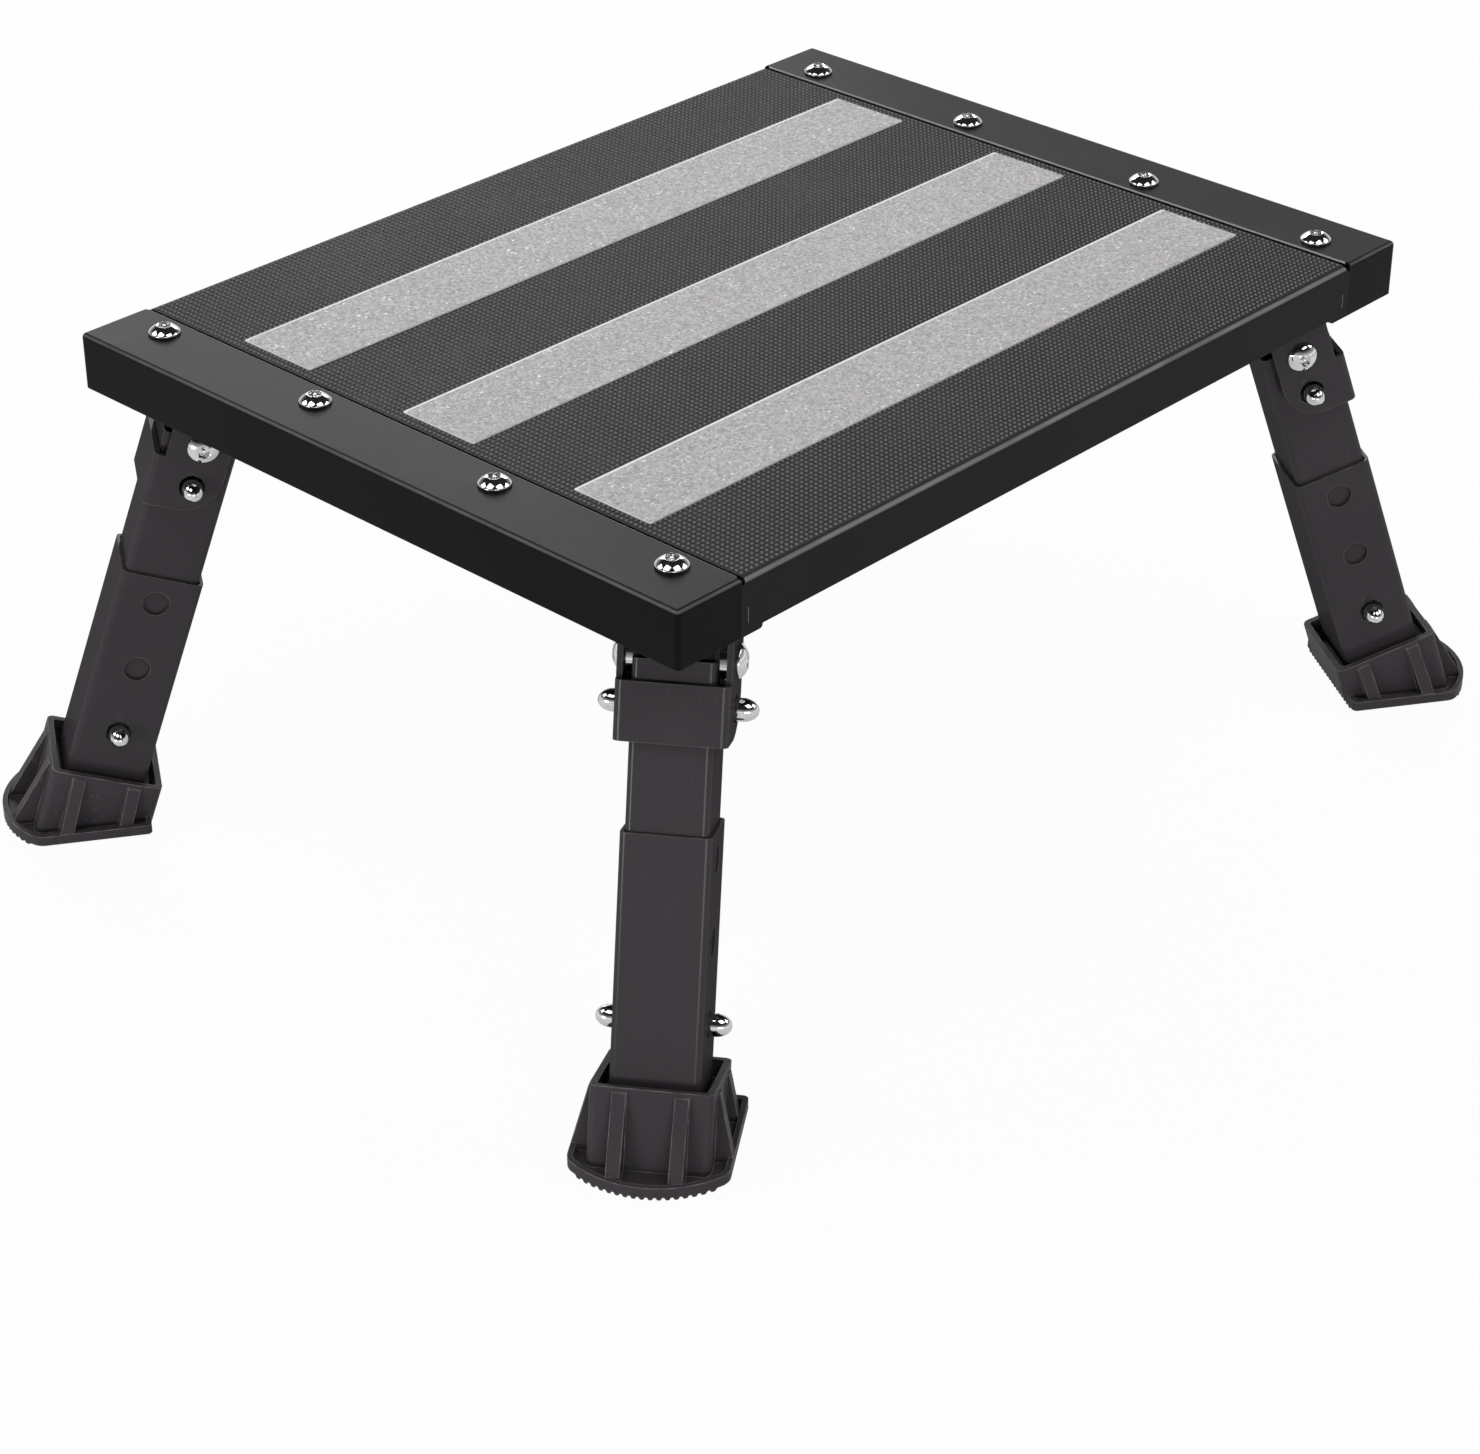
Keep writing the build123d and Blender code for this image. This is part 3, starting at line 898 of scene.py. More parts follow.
@dataclass(frozen=True)
class Stance:
    """Where the legs hang, how they lean and where they lock, in millimetres and degrees."""

    pivot_x: float = 206.0
    pivot_y: float = 151.0
    pivot_z: float = 193.525
    tilt: float = 19.0
    splay: float = 34.5
    cheek_outer: float = 23.5
    fold_lock: float = 20.0
    height_lock: float = 153.0

    def upright(self, corner: Corner) -> Matrix:
        """From a frame about the pivot, with +X outwards, to the scene.

        Args:
            corner: the leg.

        Returns:
            The frame's matrix.
        """
        splay = math.radians(self.splay)
        heading = math.atan2(corner.side_y * math.sin(splay), corner.side_x * math.cos(splay))
        pivot = (corner.side_x * self.pivot_x, corner.side_y * self.pivot_y, self.pivot_z)
        return Matrix.Translation(pivot) @ Matrix.Rotation(heading, 4, "Z")

    def leaning(self, corner: Corner) -> Matrix:
        """The same frame leaning with the leg."""
        return self.upright(corner) @ turned(-self.tilt, "Y")


@dataclass(frozen=True)
class TreadPattern:
    """Rows of small raised nubs on the tread between the strips."""

    pitch_x: float = 2.91
    pitch_y: float = 2.64
    foot_radius: float = 0.6
    crown_radius: float = 0.34
    height: float = 0.62
    sides: int = 8
    seam_gap: float = 1.8
    end_margin: float = 1.2
    side_margin: float = 4.3
    strip_margin: float = 1.1
    sharp_angle: float = 80.0

    def nub(self, bm: BMesh) -> None:
        """One nub standing on z = 0."""
        level = raised(self.height)
        bmesh.ops.create_circle(
            bm, cap_ends=True, segments=self.sides, radius=self.crown_radius, matrix=level
        )
        foot = drawn(bm, bm.edges[:], -self.height, self.foot_radius / self.crown_radius)
        bmesh.ops.edgeloop_fill(bm, edges=foot)
        bmesh.ops.recalc_face_normals(bm, faces=bm.faces[:])

    def patch(self, bm: BMesh, columns: range, rows: range, level: float) -> None:
        """A rectangle of nubs.

        Args:
            bm: the mesh that it is added to.
            columns: numbers of its columns, counted from the middle.
            rows: numbers of its rows, counted from the middle.
            level: height of the tread.
        """
        part = bmesh.new()
        self.nub(part)
        tile(part, len(columns), Vector((self.pitch_x, 0.0, 0.0)))
        tile(part, len(rows), Vector((0.0, self.pitch_y, 0.0)))
        start = (columns[0] * self.pitch_x, rows[0] * self.pitch_y, level)
        merge_copy(bm, part, Matrix.Translation(start))
        part.free()

    def finish(self, name: str, bm: BMesh) -> None:
        """Finish a mesh of nubs as a piece on the tread."""
        Piece(f"tread_nubs_{name}", PLATFORM, Slot.TREAD, [NUB_COAT], sharp_angle=self.sharp_angle).finish(bm)

    def build(self) -> None:
        """Nubs over the whole tread, one piece for each band and one for the strips' ends."""
        strips = [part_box(f"grip_strip_{name}") for name in STRIP_NAMES]
        level = strips[0][0].z / MM
        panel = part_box("tread_panel")[1]
        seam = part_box("end_cap_right")[0].x / MM
        last_column = int((seam - self.seam_gap - self.end_margin) / self.pitch_x)
        last_row = int((panel.y / MM - self.side_margin) / self.pitch_y)
        columns = range(-last_column, last_column + 1)
        covered = []
        for low, high in strips:
            first = math.ceil((low.y / MM - self.strip_margin) / self.pitch_y)
            last = math.floor((high.y / MM + self.strip_margin) / self.pitch_y)
            covered.append(range(first, last + 1))
        starts = [-last_row] + [rows[-1] + 1 for rows in covered]
        stops = [rows[0] for rows in covered] + [last_row + 1]
        for number, (start, stop) in enumerate(zip(starts, stops), 1):
            bm = bmesh.new()
            self.patch(bm, columns, range(start, stop), level)
            self.finish(f"band_{number}", bm)
        bm = bmesh.new()
        clear = math.ceil((strips[0][1].x / MM + self.strip_margin) / self.pitch_x)
        for rows in covered:
            self.patch(bm, range(clear, last_column + 1), rows, level)
            self.patch(bm, range(-last_column, -clear + 1), rows, level)
        self.finish("strip_ends", bm)


@dataclass(frozen=True)
class GripStrip:
    """A self-adhesive strip: a near-white film with rounded corners under a rough skin of grit, the film
    showing along the back edge as a painted highlight.
    """

    corner: float = 0.9
    corner_steps: int = 6
    film_height: float = 0.55
    film_edge: float = 0.2
    film_edge_steps: int = 2
    skin_inset: tuple[float, float] = (0.4, 0.85)
    # The shift bares the white film along the back edge only, as a painted highlight.
    skin_shift: tuple[float, float] = (0.15, -0.8)
    skin_level: float = 0.66
    grain_pitch: float = 0.85
    grain_relief: float = 0.075
    grain_sway: float = 0.3
    skin_depth: float = 0.3
    sharp_angle: float = 8.0

    def film(self, bm: BMesh, length: float, width: float) -> None:
        """The backing, standing on z = 0, with an eased top edge.

        Args:
            bm: the mesh that it is added to.
            length: size along X.
            width: size along Y.
        """
        bmesh.ops.create_grid(bm, x_segments=1, y_segments=1, size=0.5)
        bmesh.ops.scale(bm, verts=bm.verts[:], vec=(length, width, 1.0))
        ease(bm, bm.verts[:], self.corner, self.corner_steps, affect="VERTICES")
        made = bmesh.ops.extrude_face_region(bm, geom=bm.faces[:])["geom"]
        verts = only(BMVert, made)
        bmesh.ops.translate(bm, verts=verts, vec=(0.0, 0.0, self.film_height))
        top = set(verts)
        rim = [edge for edge in bm.edges if top.issuperset(edge.verts)]
        ease(bm, rim, self.film_edge, self.film_edge_steps)
        settle(bm)
        for face in bm.faces:
            face.material_index = 1

    def skin(self, bm: BMesh, length: float, width: float, seed: int) -> None:
        """The grit: a fine grid with jittered heights and a skirt that goes into the film.

        Args:
            bm: the mesh that it is added to.
            length: the strip's size along X.
            width: the strip's size along Y.
            seed: start of the jitter.
        """
        draw = random.Random(seed)
        half_x = length / 2 - self.skin_inset[0]
        half_y = width / 2 - self.skin_inset[1]
        cells_x = round(2 * half_x / self.grain_pitch)
        cells_y = round(2 * half_y / self.grain_pitch)
        bmesh.ops.create_grid(bm, x_segments=cells_x, y_segments=cells_y, size=0.5)
        bmesh.ops.scale(bm, verts=bm.verts[:], vec=(2 * half_x, 2 * half_y, 1.0))
        radius = self.corner - self.skin_inset[0]
        outside = []
        for vert in bm.verts:
            over_x = max(0.0, abs(vert.co.x) - half_x + radius)
            over_y = max(0.0, abs(vert.co.y) - half_y + radius)
            if math.hypot(over_x, over_y) > radius + WELD:
                outside.append(vert)
        bmesh.ops.delete(bm, geom=outside, context="VERTS")
        sway = self.grain_sway * self.grain_pitch
        for vert in bm.verts:
            lift = draw.uniform(-self.grain_relief, self.grain_relief)
            shift = (draw.uniform(-sway, sway), draw.uniform(-sway, sway))
            if vert.is_boundary:
                lift, shift = 0.0, (0.0, 0.0)
            vert.co += Vector((shift[0], shift[1], self.skin_level + lift))
        border = [edge for edge in bm.edges if edge.is_boundary]
        drawn(bm, border, -self.skin_depth, 1.0)
        bmesh.ops.recalc_face_normals(bm, faces=bm.faces[:])

    def build(self, name: str, seed: int) -> None:
        """One strip in the place of its CAD node.

        Args:
            name: which strip.
            seed: start of the grit's jitter.
        """
        node = f"grip_strip_{name}"
        low, high = (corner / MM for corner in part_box(node))
        size = high - low
        bm = bmesh.new()
        self.film(bm, size.x, size.y)
        grit = bmesh.new()
        self.skin(grit, size.x, size.y, seed)
        merge_copy(bm, grit, Matrix.Translation((*self.skin_shift, 0.0)))
        grit.free()
        middle = (low + high) / 2
        bm.transform(Matrix.Translation((middle.x, middle.y, low.z)))
        finishes = [GRIP_GRIT, TAPE_EDGE_HIGHLIGHT]
        Piece(f"{node}_grit", PLATFORM, Slot.GRIP, finishes, [node], sharp_angle=self.sharp_angle).finish(bm)


@dataclass(frozen=True)
class ButtonScrew:
    """A button-head screw with a pinned hexagon socket, its head on z = 0 and its shank below."""

    head_radius: float = 7.25
    head_height: float = 4.6
    head_edge: float = 1.2
    dome_steps: int = 9
    dome_stop: float = 0.06
    shoulder: tuple[tuple[float, float], ...] = ((-0.14, 0.16), (-0.03, -0.04), (0.0, -0.25))
    foot_edge: tuple[float, float] = (0.22, 0.25)
    mouth_radius: float = 3.25
    socket_flats: float = 5.0
    socket_depth: float = 2.6
    socket_lead: float = 0.3
    pin_radius: float = 0.9
    pin_drop: float = 0.7
    pin_edge: float = 0.2
    pin_taper: float = 0.7
    shank_radius: float = 4.0
    thread_pitch: float = 1.25
    thread_depth: float = 0.55
    thread_root: tuple[float, float] = (0.45, 0.58)
    tip_length: float = 0.8
    tip_edge: tuple[float, float] = (0.3, 0.2)
    bore_radius: float = 2.65
    bore_depth: float = 22.0
    barrel_edge: float = 0.4
    steps: int = 48

    def dome(self) -> Profile:
        """Profile of the head from the socket's mouth to its underside."""
        rise = self.head_height - self.head_edge
        crown = (self.head_radius**2 + rise**2) / (2 * rise)
        middle = self.head_height - crown
        first = math.asin(self.mouth_radius / crown)
        last = math.asin(self.head_radius / crown) - self.dome_stop
        turns = [first + (last - first) * i / self.dome_steps for i in range(self.dome_steps + 1)]
        profile = [(crown * math.sin(turn), middle + crown * math.cos(turn)) for turn in turns]
        profile += [(self.head_radius + dr, self.head_edge + dz) for dr, dz in self.shoulder]
        inset, lift = self.foot_edge
        return profile + [(self.head_radius, lift), (self.head_radius - inset, 0.0)]

    def shank(self, grip: float, length: float) -> Profile:
        """Profile of the shank, plain over the grip and then threaded.

        Args:
            grip: length of the plain part.
            length: whole length.

        Returns:
            Radius and height of each point, ending on the axis.
        """
        profile = [(self.shank_radius, 0.0), (self.shank_radius, -grip)]
        root = self.shank_radius - self.thread_depth
        turns = int((length - grip - self.tip_length) / self.thread_pitch)
        for i in range(turns):
            level = -grip - i * self.thread_pitch
            profile += [(root, level - share * self.thread_pitch) for share in self.thread_root]
            profile.append((self.shank_radius, level - self.thread_pitch))
        inset, rise = self.tip_edge
        return profile + [(root, -length + rise), (root - inset, -length), (0.0, -length)]

    def barrel(self, length: float) -> Profile:
        """Profile of a plain shank with a blind bore in its end.

        Args:
            length: whole length.

        Returns:
            Radius and height of each point, ending on the axis.
        """
        inner = -length + self.bore_depth
        return [
            (self.shank_radius, 0.0),
            (self.shank_radius, -length + self.barrel_edge),
            (self.shank_radius - self.barrel_edge, -length),
            (self.bore_radius, -length),
            (self.bore_radius, inner),
            (0.0, inner + self.bore_radius / 2),
        ]

    def socket(self, bm: BMesh) -> None:
        """Close the mouth with a hexagon socket and its pin.

        Args:
            bm: the head, open at the mouth.
        """
        mouth = [edge for edge in bm.edges if edge.is_boundary]
        top = max(vert.co.z for edge in mouth for vert in edge.verts) - self.socket_lead
        hexagon = loop(bm, 6, self.steps // 6 - 1, self.socket_flats / math.sqrt(3), top)
        bmesh.ops.bridge_loops(bm, edges=mouth + hexagon)
        floor = self.head_height - self.socket_depth
        lowest = drawn(bm, hexagon, floor - top, 1.0)
        pin = loop(bm, self.steps, 0, self.pin_radius, floor)
        bmesh.ops.bridge_loops(bm, edges=lowest + pin)
        tall = self.socket_depth - self.pin_drop
        shoulder = drawn(bm, pin, tall - self.pin_edge, 1.0)
        crown = drawn(bm, shoulder, self.pin_edge, self.pin_taper)
        bmesh.ops.edgeloop_fill(bm, edges=crown)

    def build(self, shank: Profile) -> BMesh:
        """The whole screw.

        Args:
            shank: profile below the head.

        Returns:
            Its mesh, which the caller frees.
        """
        bm = bmesh.new()
        lathe(bm, self.dome() + shank, self.steps)
        self.socket(bm)
        settle(bm)
        return bm


@dataclass(frozen=True)
class Fasteners:
    """The cap screws, and the barrel bolt and screw at each leg's pivot."""

    stance: Stance = Stance()
    screw: ButtonScrew = ButtonScrew()
    pivot_screw: ButtonScrew = ButtonScrew(shank_radius=2.5, thread_pitch=0.8, thread_depth=0.35)
    screw_x: float = 216.0
    screw_ys: tuple[float, ...] = (-156.5, -55.5, 55.5, 156.5)
    screw_grip: float = 5.0
    screw_length: float = 14.0
    barrel_length: float = 46.5
    pivot_grip: float = 2.0
    pivot_length: float = 22.0
    turns: tuple[float, ...] = (8.0, 41.0, 23.0, 52.0)

    def caps(self) -> None:
        """The screws down through both end caps."""
        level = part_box("end_cap_left")[1].z / MM
        screw = self.screw.build(self.screw.shank(self.screw_grip, self.screw_length))
        for end, side in (("left", -1), ("right", 1)):
            bm = bmesh.new()
            for y, turn in zip(self.screw_ys, self.turns):
                spot = Matrix.Translation((side * self.screw_x, y, level))
                merge_copy(bm, screw, spot @ turned(side * turn, "Z"))
            node = f"cap_screws_{end}"
            Piece(f"{node}_chrome", PLATFORM, Slot.CHROME, [CHROME], [node]).finish(bm)
        screw.free()

    def pivots(self) -> None:
        """A barrel bolt from one side of each bracket and its screw from the other."""
        bolt = self.screw.build(self.screw.barrel(self.barrel_length))
        screw = self.pivot_screw.build(self.pivot_screw.shank(self.pivot_grip, self.pivot_length))
        seat = raised(self.stance.cheek_outer)
        for node, mesh, side in (("pivot_bolts", bolt, 1), ("pivot_screws", screw, -1)):
            bm = bmesh.new()
            for corner, turn in zip(Corner, self.turns):
                lay = turned(90.0 * side * corner.side_x, "X")
                merge_copy(bm, mesh, self.stance.leaning(corner) @ lay @ seat @ turned(turn, "Z"))
            mesh.free()
            Piece(f"{node}_chrome", PLATFORM, Slot.CHROME, [CHROME], [node]).finish(bm)

    def build(self) -> None:
        """All the screws and bolts that show."""
        self.caps()
        self.pivots()


@dataclass(frozen=True)
class SnapButtons:
    """The chromed buttons that lock each leg unfolded and at its height."""

    stance: Stance = Stance()
    radius: float = 4.9
    collar_radius: float = 6.65
    collar_thickness: float = 1.4
    collar_edge: float = 0.2
    neck: float = 0.25
    inner: float = 14.25
    fold_tip: float = 33.1
    height_tip: float = 28.6
    dome_rise: float = 6.8
    dome_steps: int = 12
    steps: int = 40

    def profile(self, tip: float) -> Profile:
        """From the collar's inside to the dome's tip.

        Args:
            tip: distance of the tip from the leg's axis.

        Returns:
            Radius and height of each point.
        """
        shoulder = self.inner + self.collar_thickness
        profile = [
            (0.0, self.inner),
            (self.collar_radius - self.collar_edge, self.inner),
            (self.collar_radius, self.inner + self.collar_edge),
            (self.collar_radius, shoulder - self.collar_edge),
            (self.collar_radius - self.collar_edge, shoulder),
            (self.radius + self.neck, shoulder),
            (self.radius, shoulder + self.neck),
        ]
        for i in range(self.dome_steps + 1):
            turn = math.pi / 2 * i / self.dome_steps
            profile.append((self.radius * math.cos(turn), tip - self.dome_rise * (1 - math.sin(turn))))
        return profile

    def build(self) -> None:
        """All sixteen buttons, each on its own body."""
        kinds = (
            ("fold", self.fold_tip, self.stance.fold_lock),
            ("height", self.height_tip, self.stance.height_lock),
        )
        for corner in Corner:
            for label, sign in BUTTON_SIDES:
                lay = turned(-90.0 * corner.facing(sign), "X")
                for kind, tip, lock in kinds:
                    bm = bmesh.new()
                    lathe(bm, self.profile(tip), self.steps)
                    settle(bm)
                    bm.transform(self.stance.leaning(corner) @ raised(-lock) @ lay)
                    node = f"{kind}_button_{label}_{corner.label}"
                    Piece(f"{node}_chrome", node, Slot.CHROME, [CHROME], [node]).finish(bm)


@dataclass(frozen=True)
class SpringClips:
    """V clips of spring strip in the legs, split into arms, each kept with its own button's body as a bend
    that nothing here applies.
    """

    stance: Stance = Stance()
    bend_start: float = 38.0
    bend_end: float = 7.5

    def arm(self, node: str, place: Matrix, facing: int) -> BMesh:
        """Half of a clip, cut along the leg's middle.

        Args:
            node: the clip's CAD node, which gives its shape.
            place: the leg's frame.
            facing: the side of the leg that the arm is on.

        Returns:
            The closed arm in millimetres, in its place.
        """
        bm = bmesh.new()
        bm.from_mesh(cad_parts[node].data)
        bm.transform(Matrix.Scale(1 / MM, 4))
        settle(bm)
        bmesh.ops.bisect_plane(
            bm,
            geom=bm.verts[:] + bm.edges[:] + bm.faces[:],
            plane_co=place.translation,
            plane_no=place.to_3x3() @ Vector((0.0, facing, 0.0)),
            clear_inner=True,
        )
        bmesh.ops.holes_fill(bm, edges=[edge for edge in bm.edges if edge.is_boundary])
        settle(bm)
        return bm

    def build(self) -> None:
        """Both arms of all eight clips."""
        kinds = (("fold", self.stance.fold_lock, 1), ("height", self.stance.height_lock, -1))
        for corner in Corner:
            place = self.stance.leaning(corner)
            upper_leg = f"upper_leg_{corner.label}"
            for kind, lock, way in kinds:
                start = place @ Vector((0.0, 0.0, -lock - way * self.bend_start))
                end = place @ Vector((0.0, 0.0, -lock - way * self.bend_end))
                node = f"{kind}_spring_{corner.label}"
                for label, sign in BUTTON_SIDES:
                    bm = self.arm(node, place, corner.facing(sign))
                    bend = Bend(f"{kind}_button_{label}_{corner.label}", start, end)
                    name = f"{kind}_clip_{label}_{corner.label}"
                    Piece(name, upper_leg, Slot.SPRING, [SPRING_STEEL], [node], bend=bend).finish(bm)


@dataclass(frozen=True)
class BracketWelds:
    """Rippled weld beads between each bracket's cheeks and the rail above."""

    stance: Stance = Stance()
    web_top: float = 21.015
    start: float = -18.5
    end: float = 8.5
    radius: float = 1.9
    taper_length: float = 2.2
    ripple: float = 0.16
    ripple_pitch: float = 1.5
    ripple_steps: int = 4
    sink: float = 0.4
    steps: int = 16
    sharp_angle: float = 60.0

    def profile(self) -> Profile:
        """A bead with a rounded head and tail, along Z."""
        length = self.end - self.start
        count = round(length / self.ripple_pitch) * self.ripple_steps
        profile = [(0.0, 0.0)]
        for i in range(1, count):
            z = length * i / count
            short = max(0.0, 1.0 - min(z, length - z) / self.taper_length)
            taper = math.sqrt(max(0.0, 1.0 - short**2))
            wave = self.ripple * abs(math.sin(math.pi * z / self.ripple_pitch))
            profile.append(((self.radius - self.ripple + wave) * taper, z))
        return profile + [(0.0, length)]

    def build(self) -> None:
        """Two beads on each bracket."""
        bm = bmesh.new()
        bead = bmesh.new()
        lathe(bead, self.profile(), self.steps)
        settle(bead)
        along = turned(90.0, "Y")
        for corner in Corner:
            for side in (-1, 1):
                y = side * (self.stance.cheek_outer + self.sink)
                spot = Matrix.Translation((self.start, y, self.web_top - self.sink))
                merge_copy(bm, bead, self.stance.upright(corner) @ spot @ along)
        bead.free()
        Piece("bracket_welds", PLATFORM, Slot.FRAME, [LEG_COAT], sharp_angle=self.sharp_angle).finish(bm)


@dataclass(frozen=True)
class SlitLightTabs:
    """Bright bare-steel tab ends in the skirts' slits, which stand in for the light line that each slit
    shows.
    """

    slit_x: float = 201.3
    slit_rise: float = 8.9
    width: float = 0.45
    height: float = 6.9
    depth: float = 1.2
    inset: float = 0.05
    edge: float = 0.12
    edge_steps: int = 2

    def build(self) -> None:
        """One tab in each of the four slits."""
        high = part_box("tread_panel")[1]
        tab = bmesh.new()
        bmesh.ops.create_cube(tab, size=1.0)
        bmesh.ops.scale(tab, verts=tab.verts[:], vec=(self.width, self.depth, self.height))
        ease(tab, tab.edges[:], self.edge, self.edge_steps)
        bm = bmesh.new()
        y = high.y / MM - self.inset - self.depth / 2
        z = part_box("end_cap_left")[0].z / MM + self.slit_rise
        for side_x in (-1, 1):
            for side_y in (-1, 1):
                merge_copy(bm, tab, Matrix.Translation((side_x * self.slit_x, side_y * y, z)))
        tab.free()
        Piece("skirt_slit_light_tabs", PLATFORM, Slot.SPRING, [SLIT_LIGHT_STEEL]).finish(bm)


class Parts:
    """Finishes for the CAD nodes that are shown as they are."""

    coats: tuple[tuple[str, Finish], ...] = (
        ("tread_panel", TREAD_COAT),
        ("tread_stiffener", BLACK_COAT),
        ("end_cap", CAP_COAT),
        ("end_rail", BLACK_COAT),
        ("bracket", LEG_COAT),
        ("upper_tube", LEG_COAT),
        ("lower_tube", LEG_COAT),
        ("foot", FOOT_PLASTIC),
        ("cap_nuts", CHROME),
        ("pivot_spacers", CHROME),
    )

    def dress(self) -> None:
        """Give each shown node its material."""
        for name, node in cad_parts.items():
            for start, finish in self.coats:
                if name.startswith(start):
                    node.data.materials.clear()
                    node.data.materials.append(stocked(finish))
                    LOG.info("%s: %s", name, finish.name)


# Studio


def outward(azimuth: float, elevation: float) -> Vector:
    """The direction from the step to a lamp or camera, in degrees from the front and the floor."""
    turn, rise = math.radians(azimuth), math.radians(elevation)
    return Vector((math.sin(turn) * math.cos(rise), -math.cos(turn) * math.cos(rise), math.sin(rise)))


@dataclass(frozen=True)
class Lamp:
    """A soft rectangular lamp that faces the step."""

    name: str
    azimuth: float
    elevation: float
    distance: float
    width: float
    height: float
    radiance: float

    def build(self, target: Vector) -> None:
        """Put the lamp in the scene.

        Args:
            target: the point that it faces.
        """
        data = bpy.data.lights.new(self.name, "AREA")
        data.shape = "RECTANGLE"
        data.size = self.width
        data.size_y = self.height
        data.energy = self.radiance * math.pi * self.width * self.height
        lamp = bpy.data.objects.new(self.name, data)
        bpy.context.scene.collection.objects.link(lamp)
        away = outward(self.azimuth, self.elevation)
        lamp.location = target + away * self.distance
        lamp.rotation_euler = away.to_track_quat("Z", "Y").to_euler()
        lamp.visible_camera = False


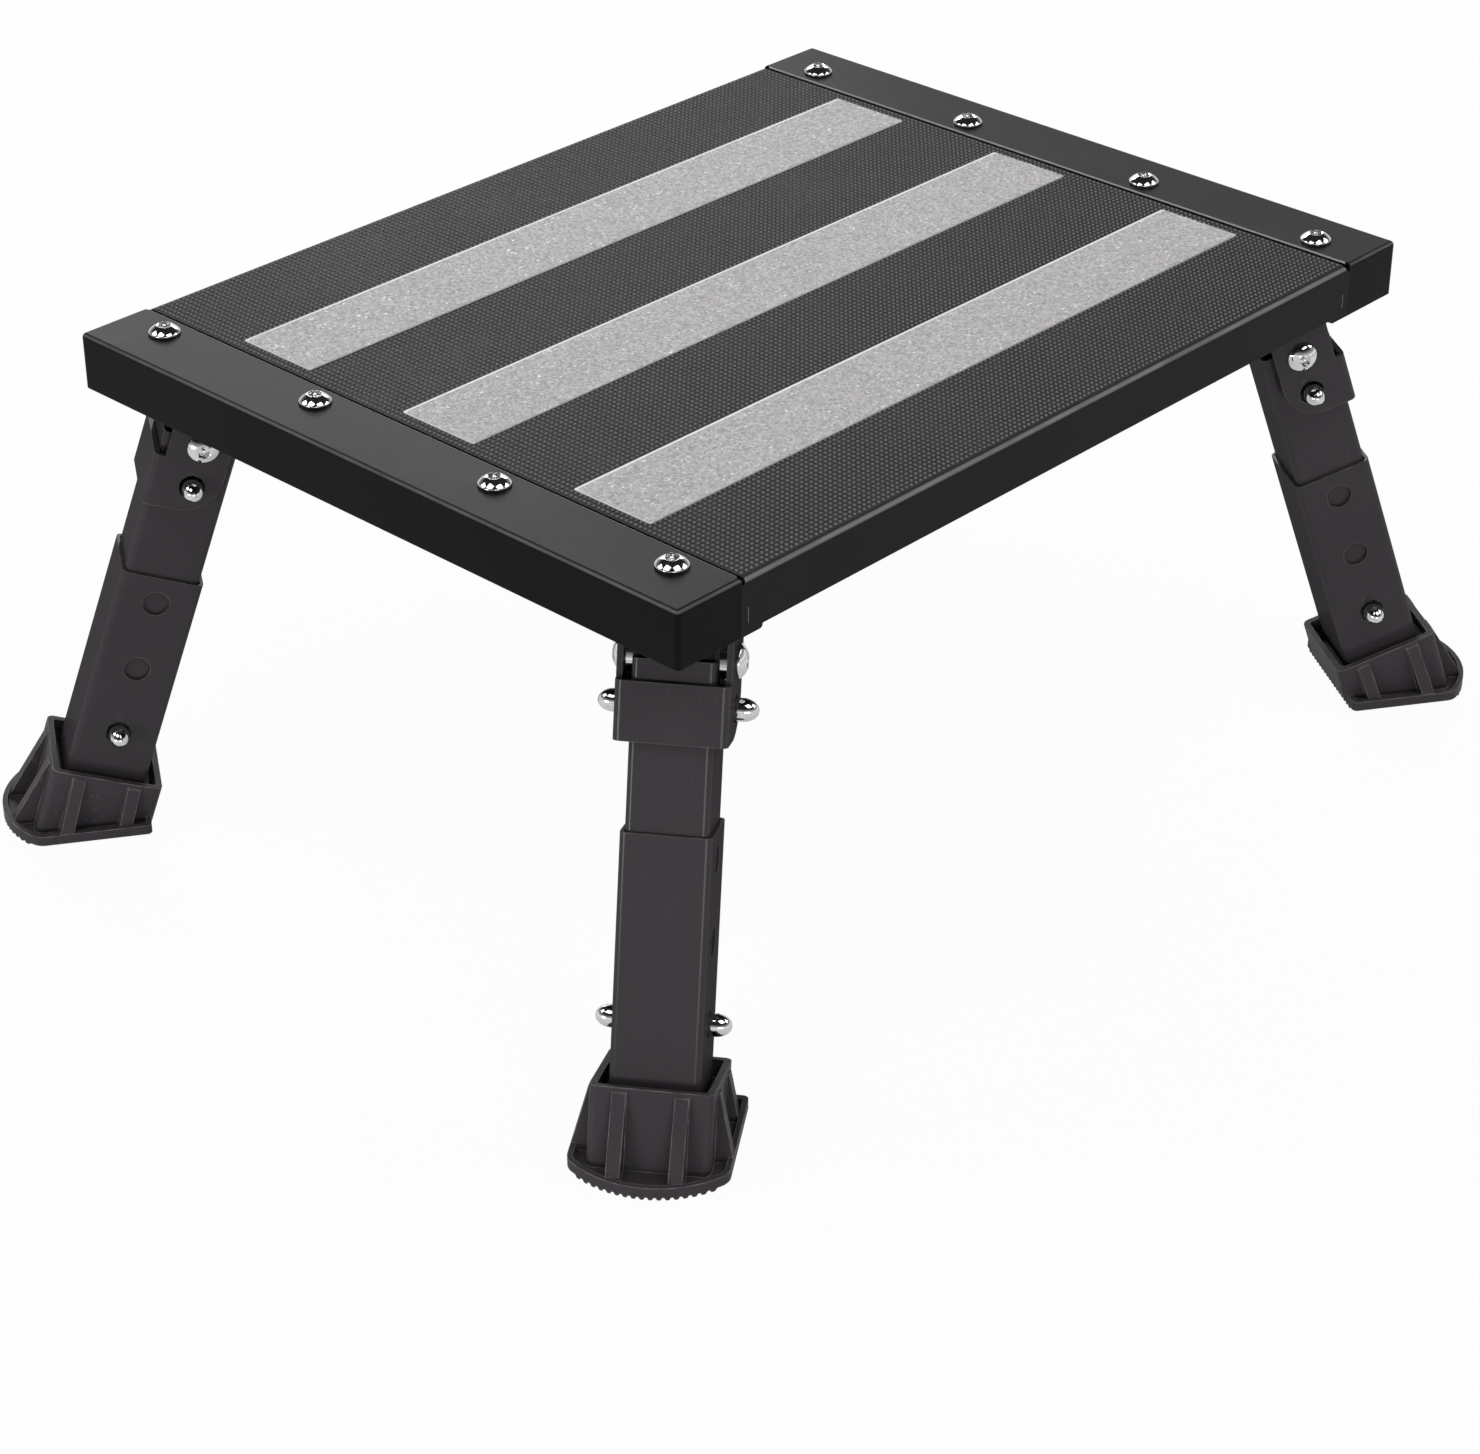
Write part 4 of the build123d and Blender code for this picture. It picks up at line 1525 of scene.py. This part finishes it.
@dataclass(frozen=True)
class Studio:
    """Pale floor, soft lamps and the camera at the photograph's angle."""

    azimuth: float = -46.848
    elevation: float = 31.340
    location: Point = (-1111.7, -1032.8, 929.8)
    lens: float = 88.405
    sensor: float = 36.0
    clip: tuple[float, float] = (0.05, 60.0)
    floor_size: float = 12.0
    floor_drop: float = 0.2
    floor_colour: Colour = srgb("f0f0f0")
    floor_seen: float = 0.96
    floor_mirrored: float = 0.3
    sky_low: tuple[float, float] = (0.06, 0.97)
    sky_middle: tuple[float, float] = (0.22, 0.40)
    sky_high: tuple[float, float] = (0.55, 0.02)
    target: Point = (0.0, 0.0, 200.0)
    lamps: tuple[Lamp, ...] = (
        Lamp("back_softbox", 133.0, 30.0, 2.6, 2.6, 1.1, 1.95),
        Lamp("back_near_softbox", 149.0, 30.0, 2.4, 1.42, 1.1, 3.15),
        Lamp("back_left_softbox", -138.0, 38.0, 2.4, 1.0, 0.8, 3.0),
        Lamp("right_softbox", 50.0, 36.0, 2.4, 1.2, 0.8, 3.0),
        Lamp("left_softbox", -92.0, 58.0, 2.4, 1.1, 1.1, 2.6),
        Lamp("front_softbox", -2.0, 56.0, 2.4, 1.2, 1.2, 2.8),
        Lamp("left_low_softbox", -92.0, 2.0, 2.6, 0.9, 0.5, 8.0),
        Lamp("right_low_softbox", -33.0, 2.0, 2.6, 1.1, 0.5, 4.6),
    )

    def floor(self) -> None:
        """A plain pale floor that keeps the step's shadow."""
        material = bpy.data.materials.new("pale_floor")
        material.use_nodes = True
        graph = Graph(material.node_tree)
        matt = graph.add("ShaderNodeBsdfDiffuse", {"Color": self.floor_colour}).outputs[0]
        white = graph.add("ShaderNodeEmission", {"Color": (1.0, 1.0, 1.0, 1.0), "Strength": 1.0}).outputs[0]
        path = graph.add("ShaderNodeLightPath").outputs
        seen = graph.math("MULTIPLY", path["Is Camera Ray"], self.floor_seen)
        mirrored = graph.math("ADD", path["Is Glossy Ray"], path["Is Transmission Ray"])
        share = graph.math("ADD", seen, graph.math("MULTIPLY", mirrored, self.floor_mirrored))
        mixed = graph.add("ShaderNodeMixShader", {0: share, 1: matt, 2: white}).outputs[0]
        graph.add("ShaderNodeOutputMaterial", {"Surface": mixed})
        bm = bmesh.new()
        bmesh.ops.create_grid(bm, x_segments=1, y_segments=1, size=self.floor_size / 2)
        bm.transform(raised(-self.floor_drop * MM))
        mesh = bpy.data.meshes.new("floor")
        bm.to_mesh(mesh)
        bm.free()
        mesh.materials.append(material)
        floor = bpy.data.objects.new("floor", mesh)
        bpy.context.scene.collection.objects.link(floor)

    def sky(self) -> None:
        """A soft surround, pale at the horizon and dim overhead."""
        world = bpy.data.worlds.new("studio")
        world.use_nodes = True
        bpy.context.scene.world = world
        graph = Graph(world.node_tree)
        direction = graph.add("ShaderNodeTexCoord").outputs["Generated"]
        height = graph.add("ShaderNodeSeparateXYZ", {0: direction}).outputs["Z"]
        ramp = graph.add("ShaderNodeValToRGB", {0: height})
        stops = ramp.color_ramp.elements
        low, high = stops[0], stops[1]
        low.position, grey = self.sky_low
        low.color = (grey, grey, grey, 1.0)
        high.position, grey = self.sky_high
        high.color = (grey, grey, grey, 1.0)
        place, grey = self.sky_middle
        stops.new(place).color = (grey, grey, grey, 1.0)
        back = graph.add("ShaderNodeBackground", {"Color": ramp.outputs[0], "Strength": 1.0})
        graph.add("ShaderNodeOutputWorld", {"Surface": back.outputs[0]})

    def camera(self) -> None:
        """The camera, looking as the photograph does."""
        back = outward(self.azimuth, self.elevation)
        turn = math.radians(self.azimuth)
        right = Vector((math.cos(turn), math.sin(turn), 0.0))
        axes = Matrix((right, back.cross(right), back)).transposed()
        data = bpy.data.cameras.new("camera")
        data.sensor_fit = "HORIZONTAL"
        data.sensor_width = self.sensor
        data.lens = self.lens
        data.clip_start, data.clip_end = self.clip
        camera = bpy.data.objects.new("camera", data)
        bpy.context.scene.collection.objects.link(camera)
        camera.matrix_world = Matrix.Translation(Vector(self.location) * MM) @ axes.to_4x4()
        bpy.context.scene.camera = camera

    def build(self) -> None:
        """Floor, surround, lamps and camera."""
        self.floor()
        self.sky()
        for lamp in self.lamps:
            lamp.build(Vector(self.target) * MM)
        self.camera()
        bpy.context.scene.view_settings.view_transform = "Standard"


def main() -> None:
    """Build the studio, dress the CAD nodes and add the fine pieces."""
    logging.basicConfig(level=logging.INFO, format="%(message)s")
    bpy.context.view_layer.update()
    Studio().build()
    Parts().dress()
    TreadPattern().build()
    for seed, name in enumerate(STRIP_NAMES, GRIT_SEED):
        GripStrip().build(name, seed)
    for group in (Fasteners(), SnapButtons(), SpringClips(), BracketWelds(), SlitLightTabs()):
        group.build()


if __name__ == "__main__":
    main()
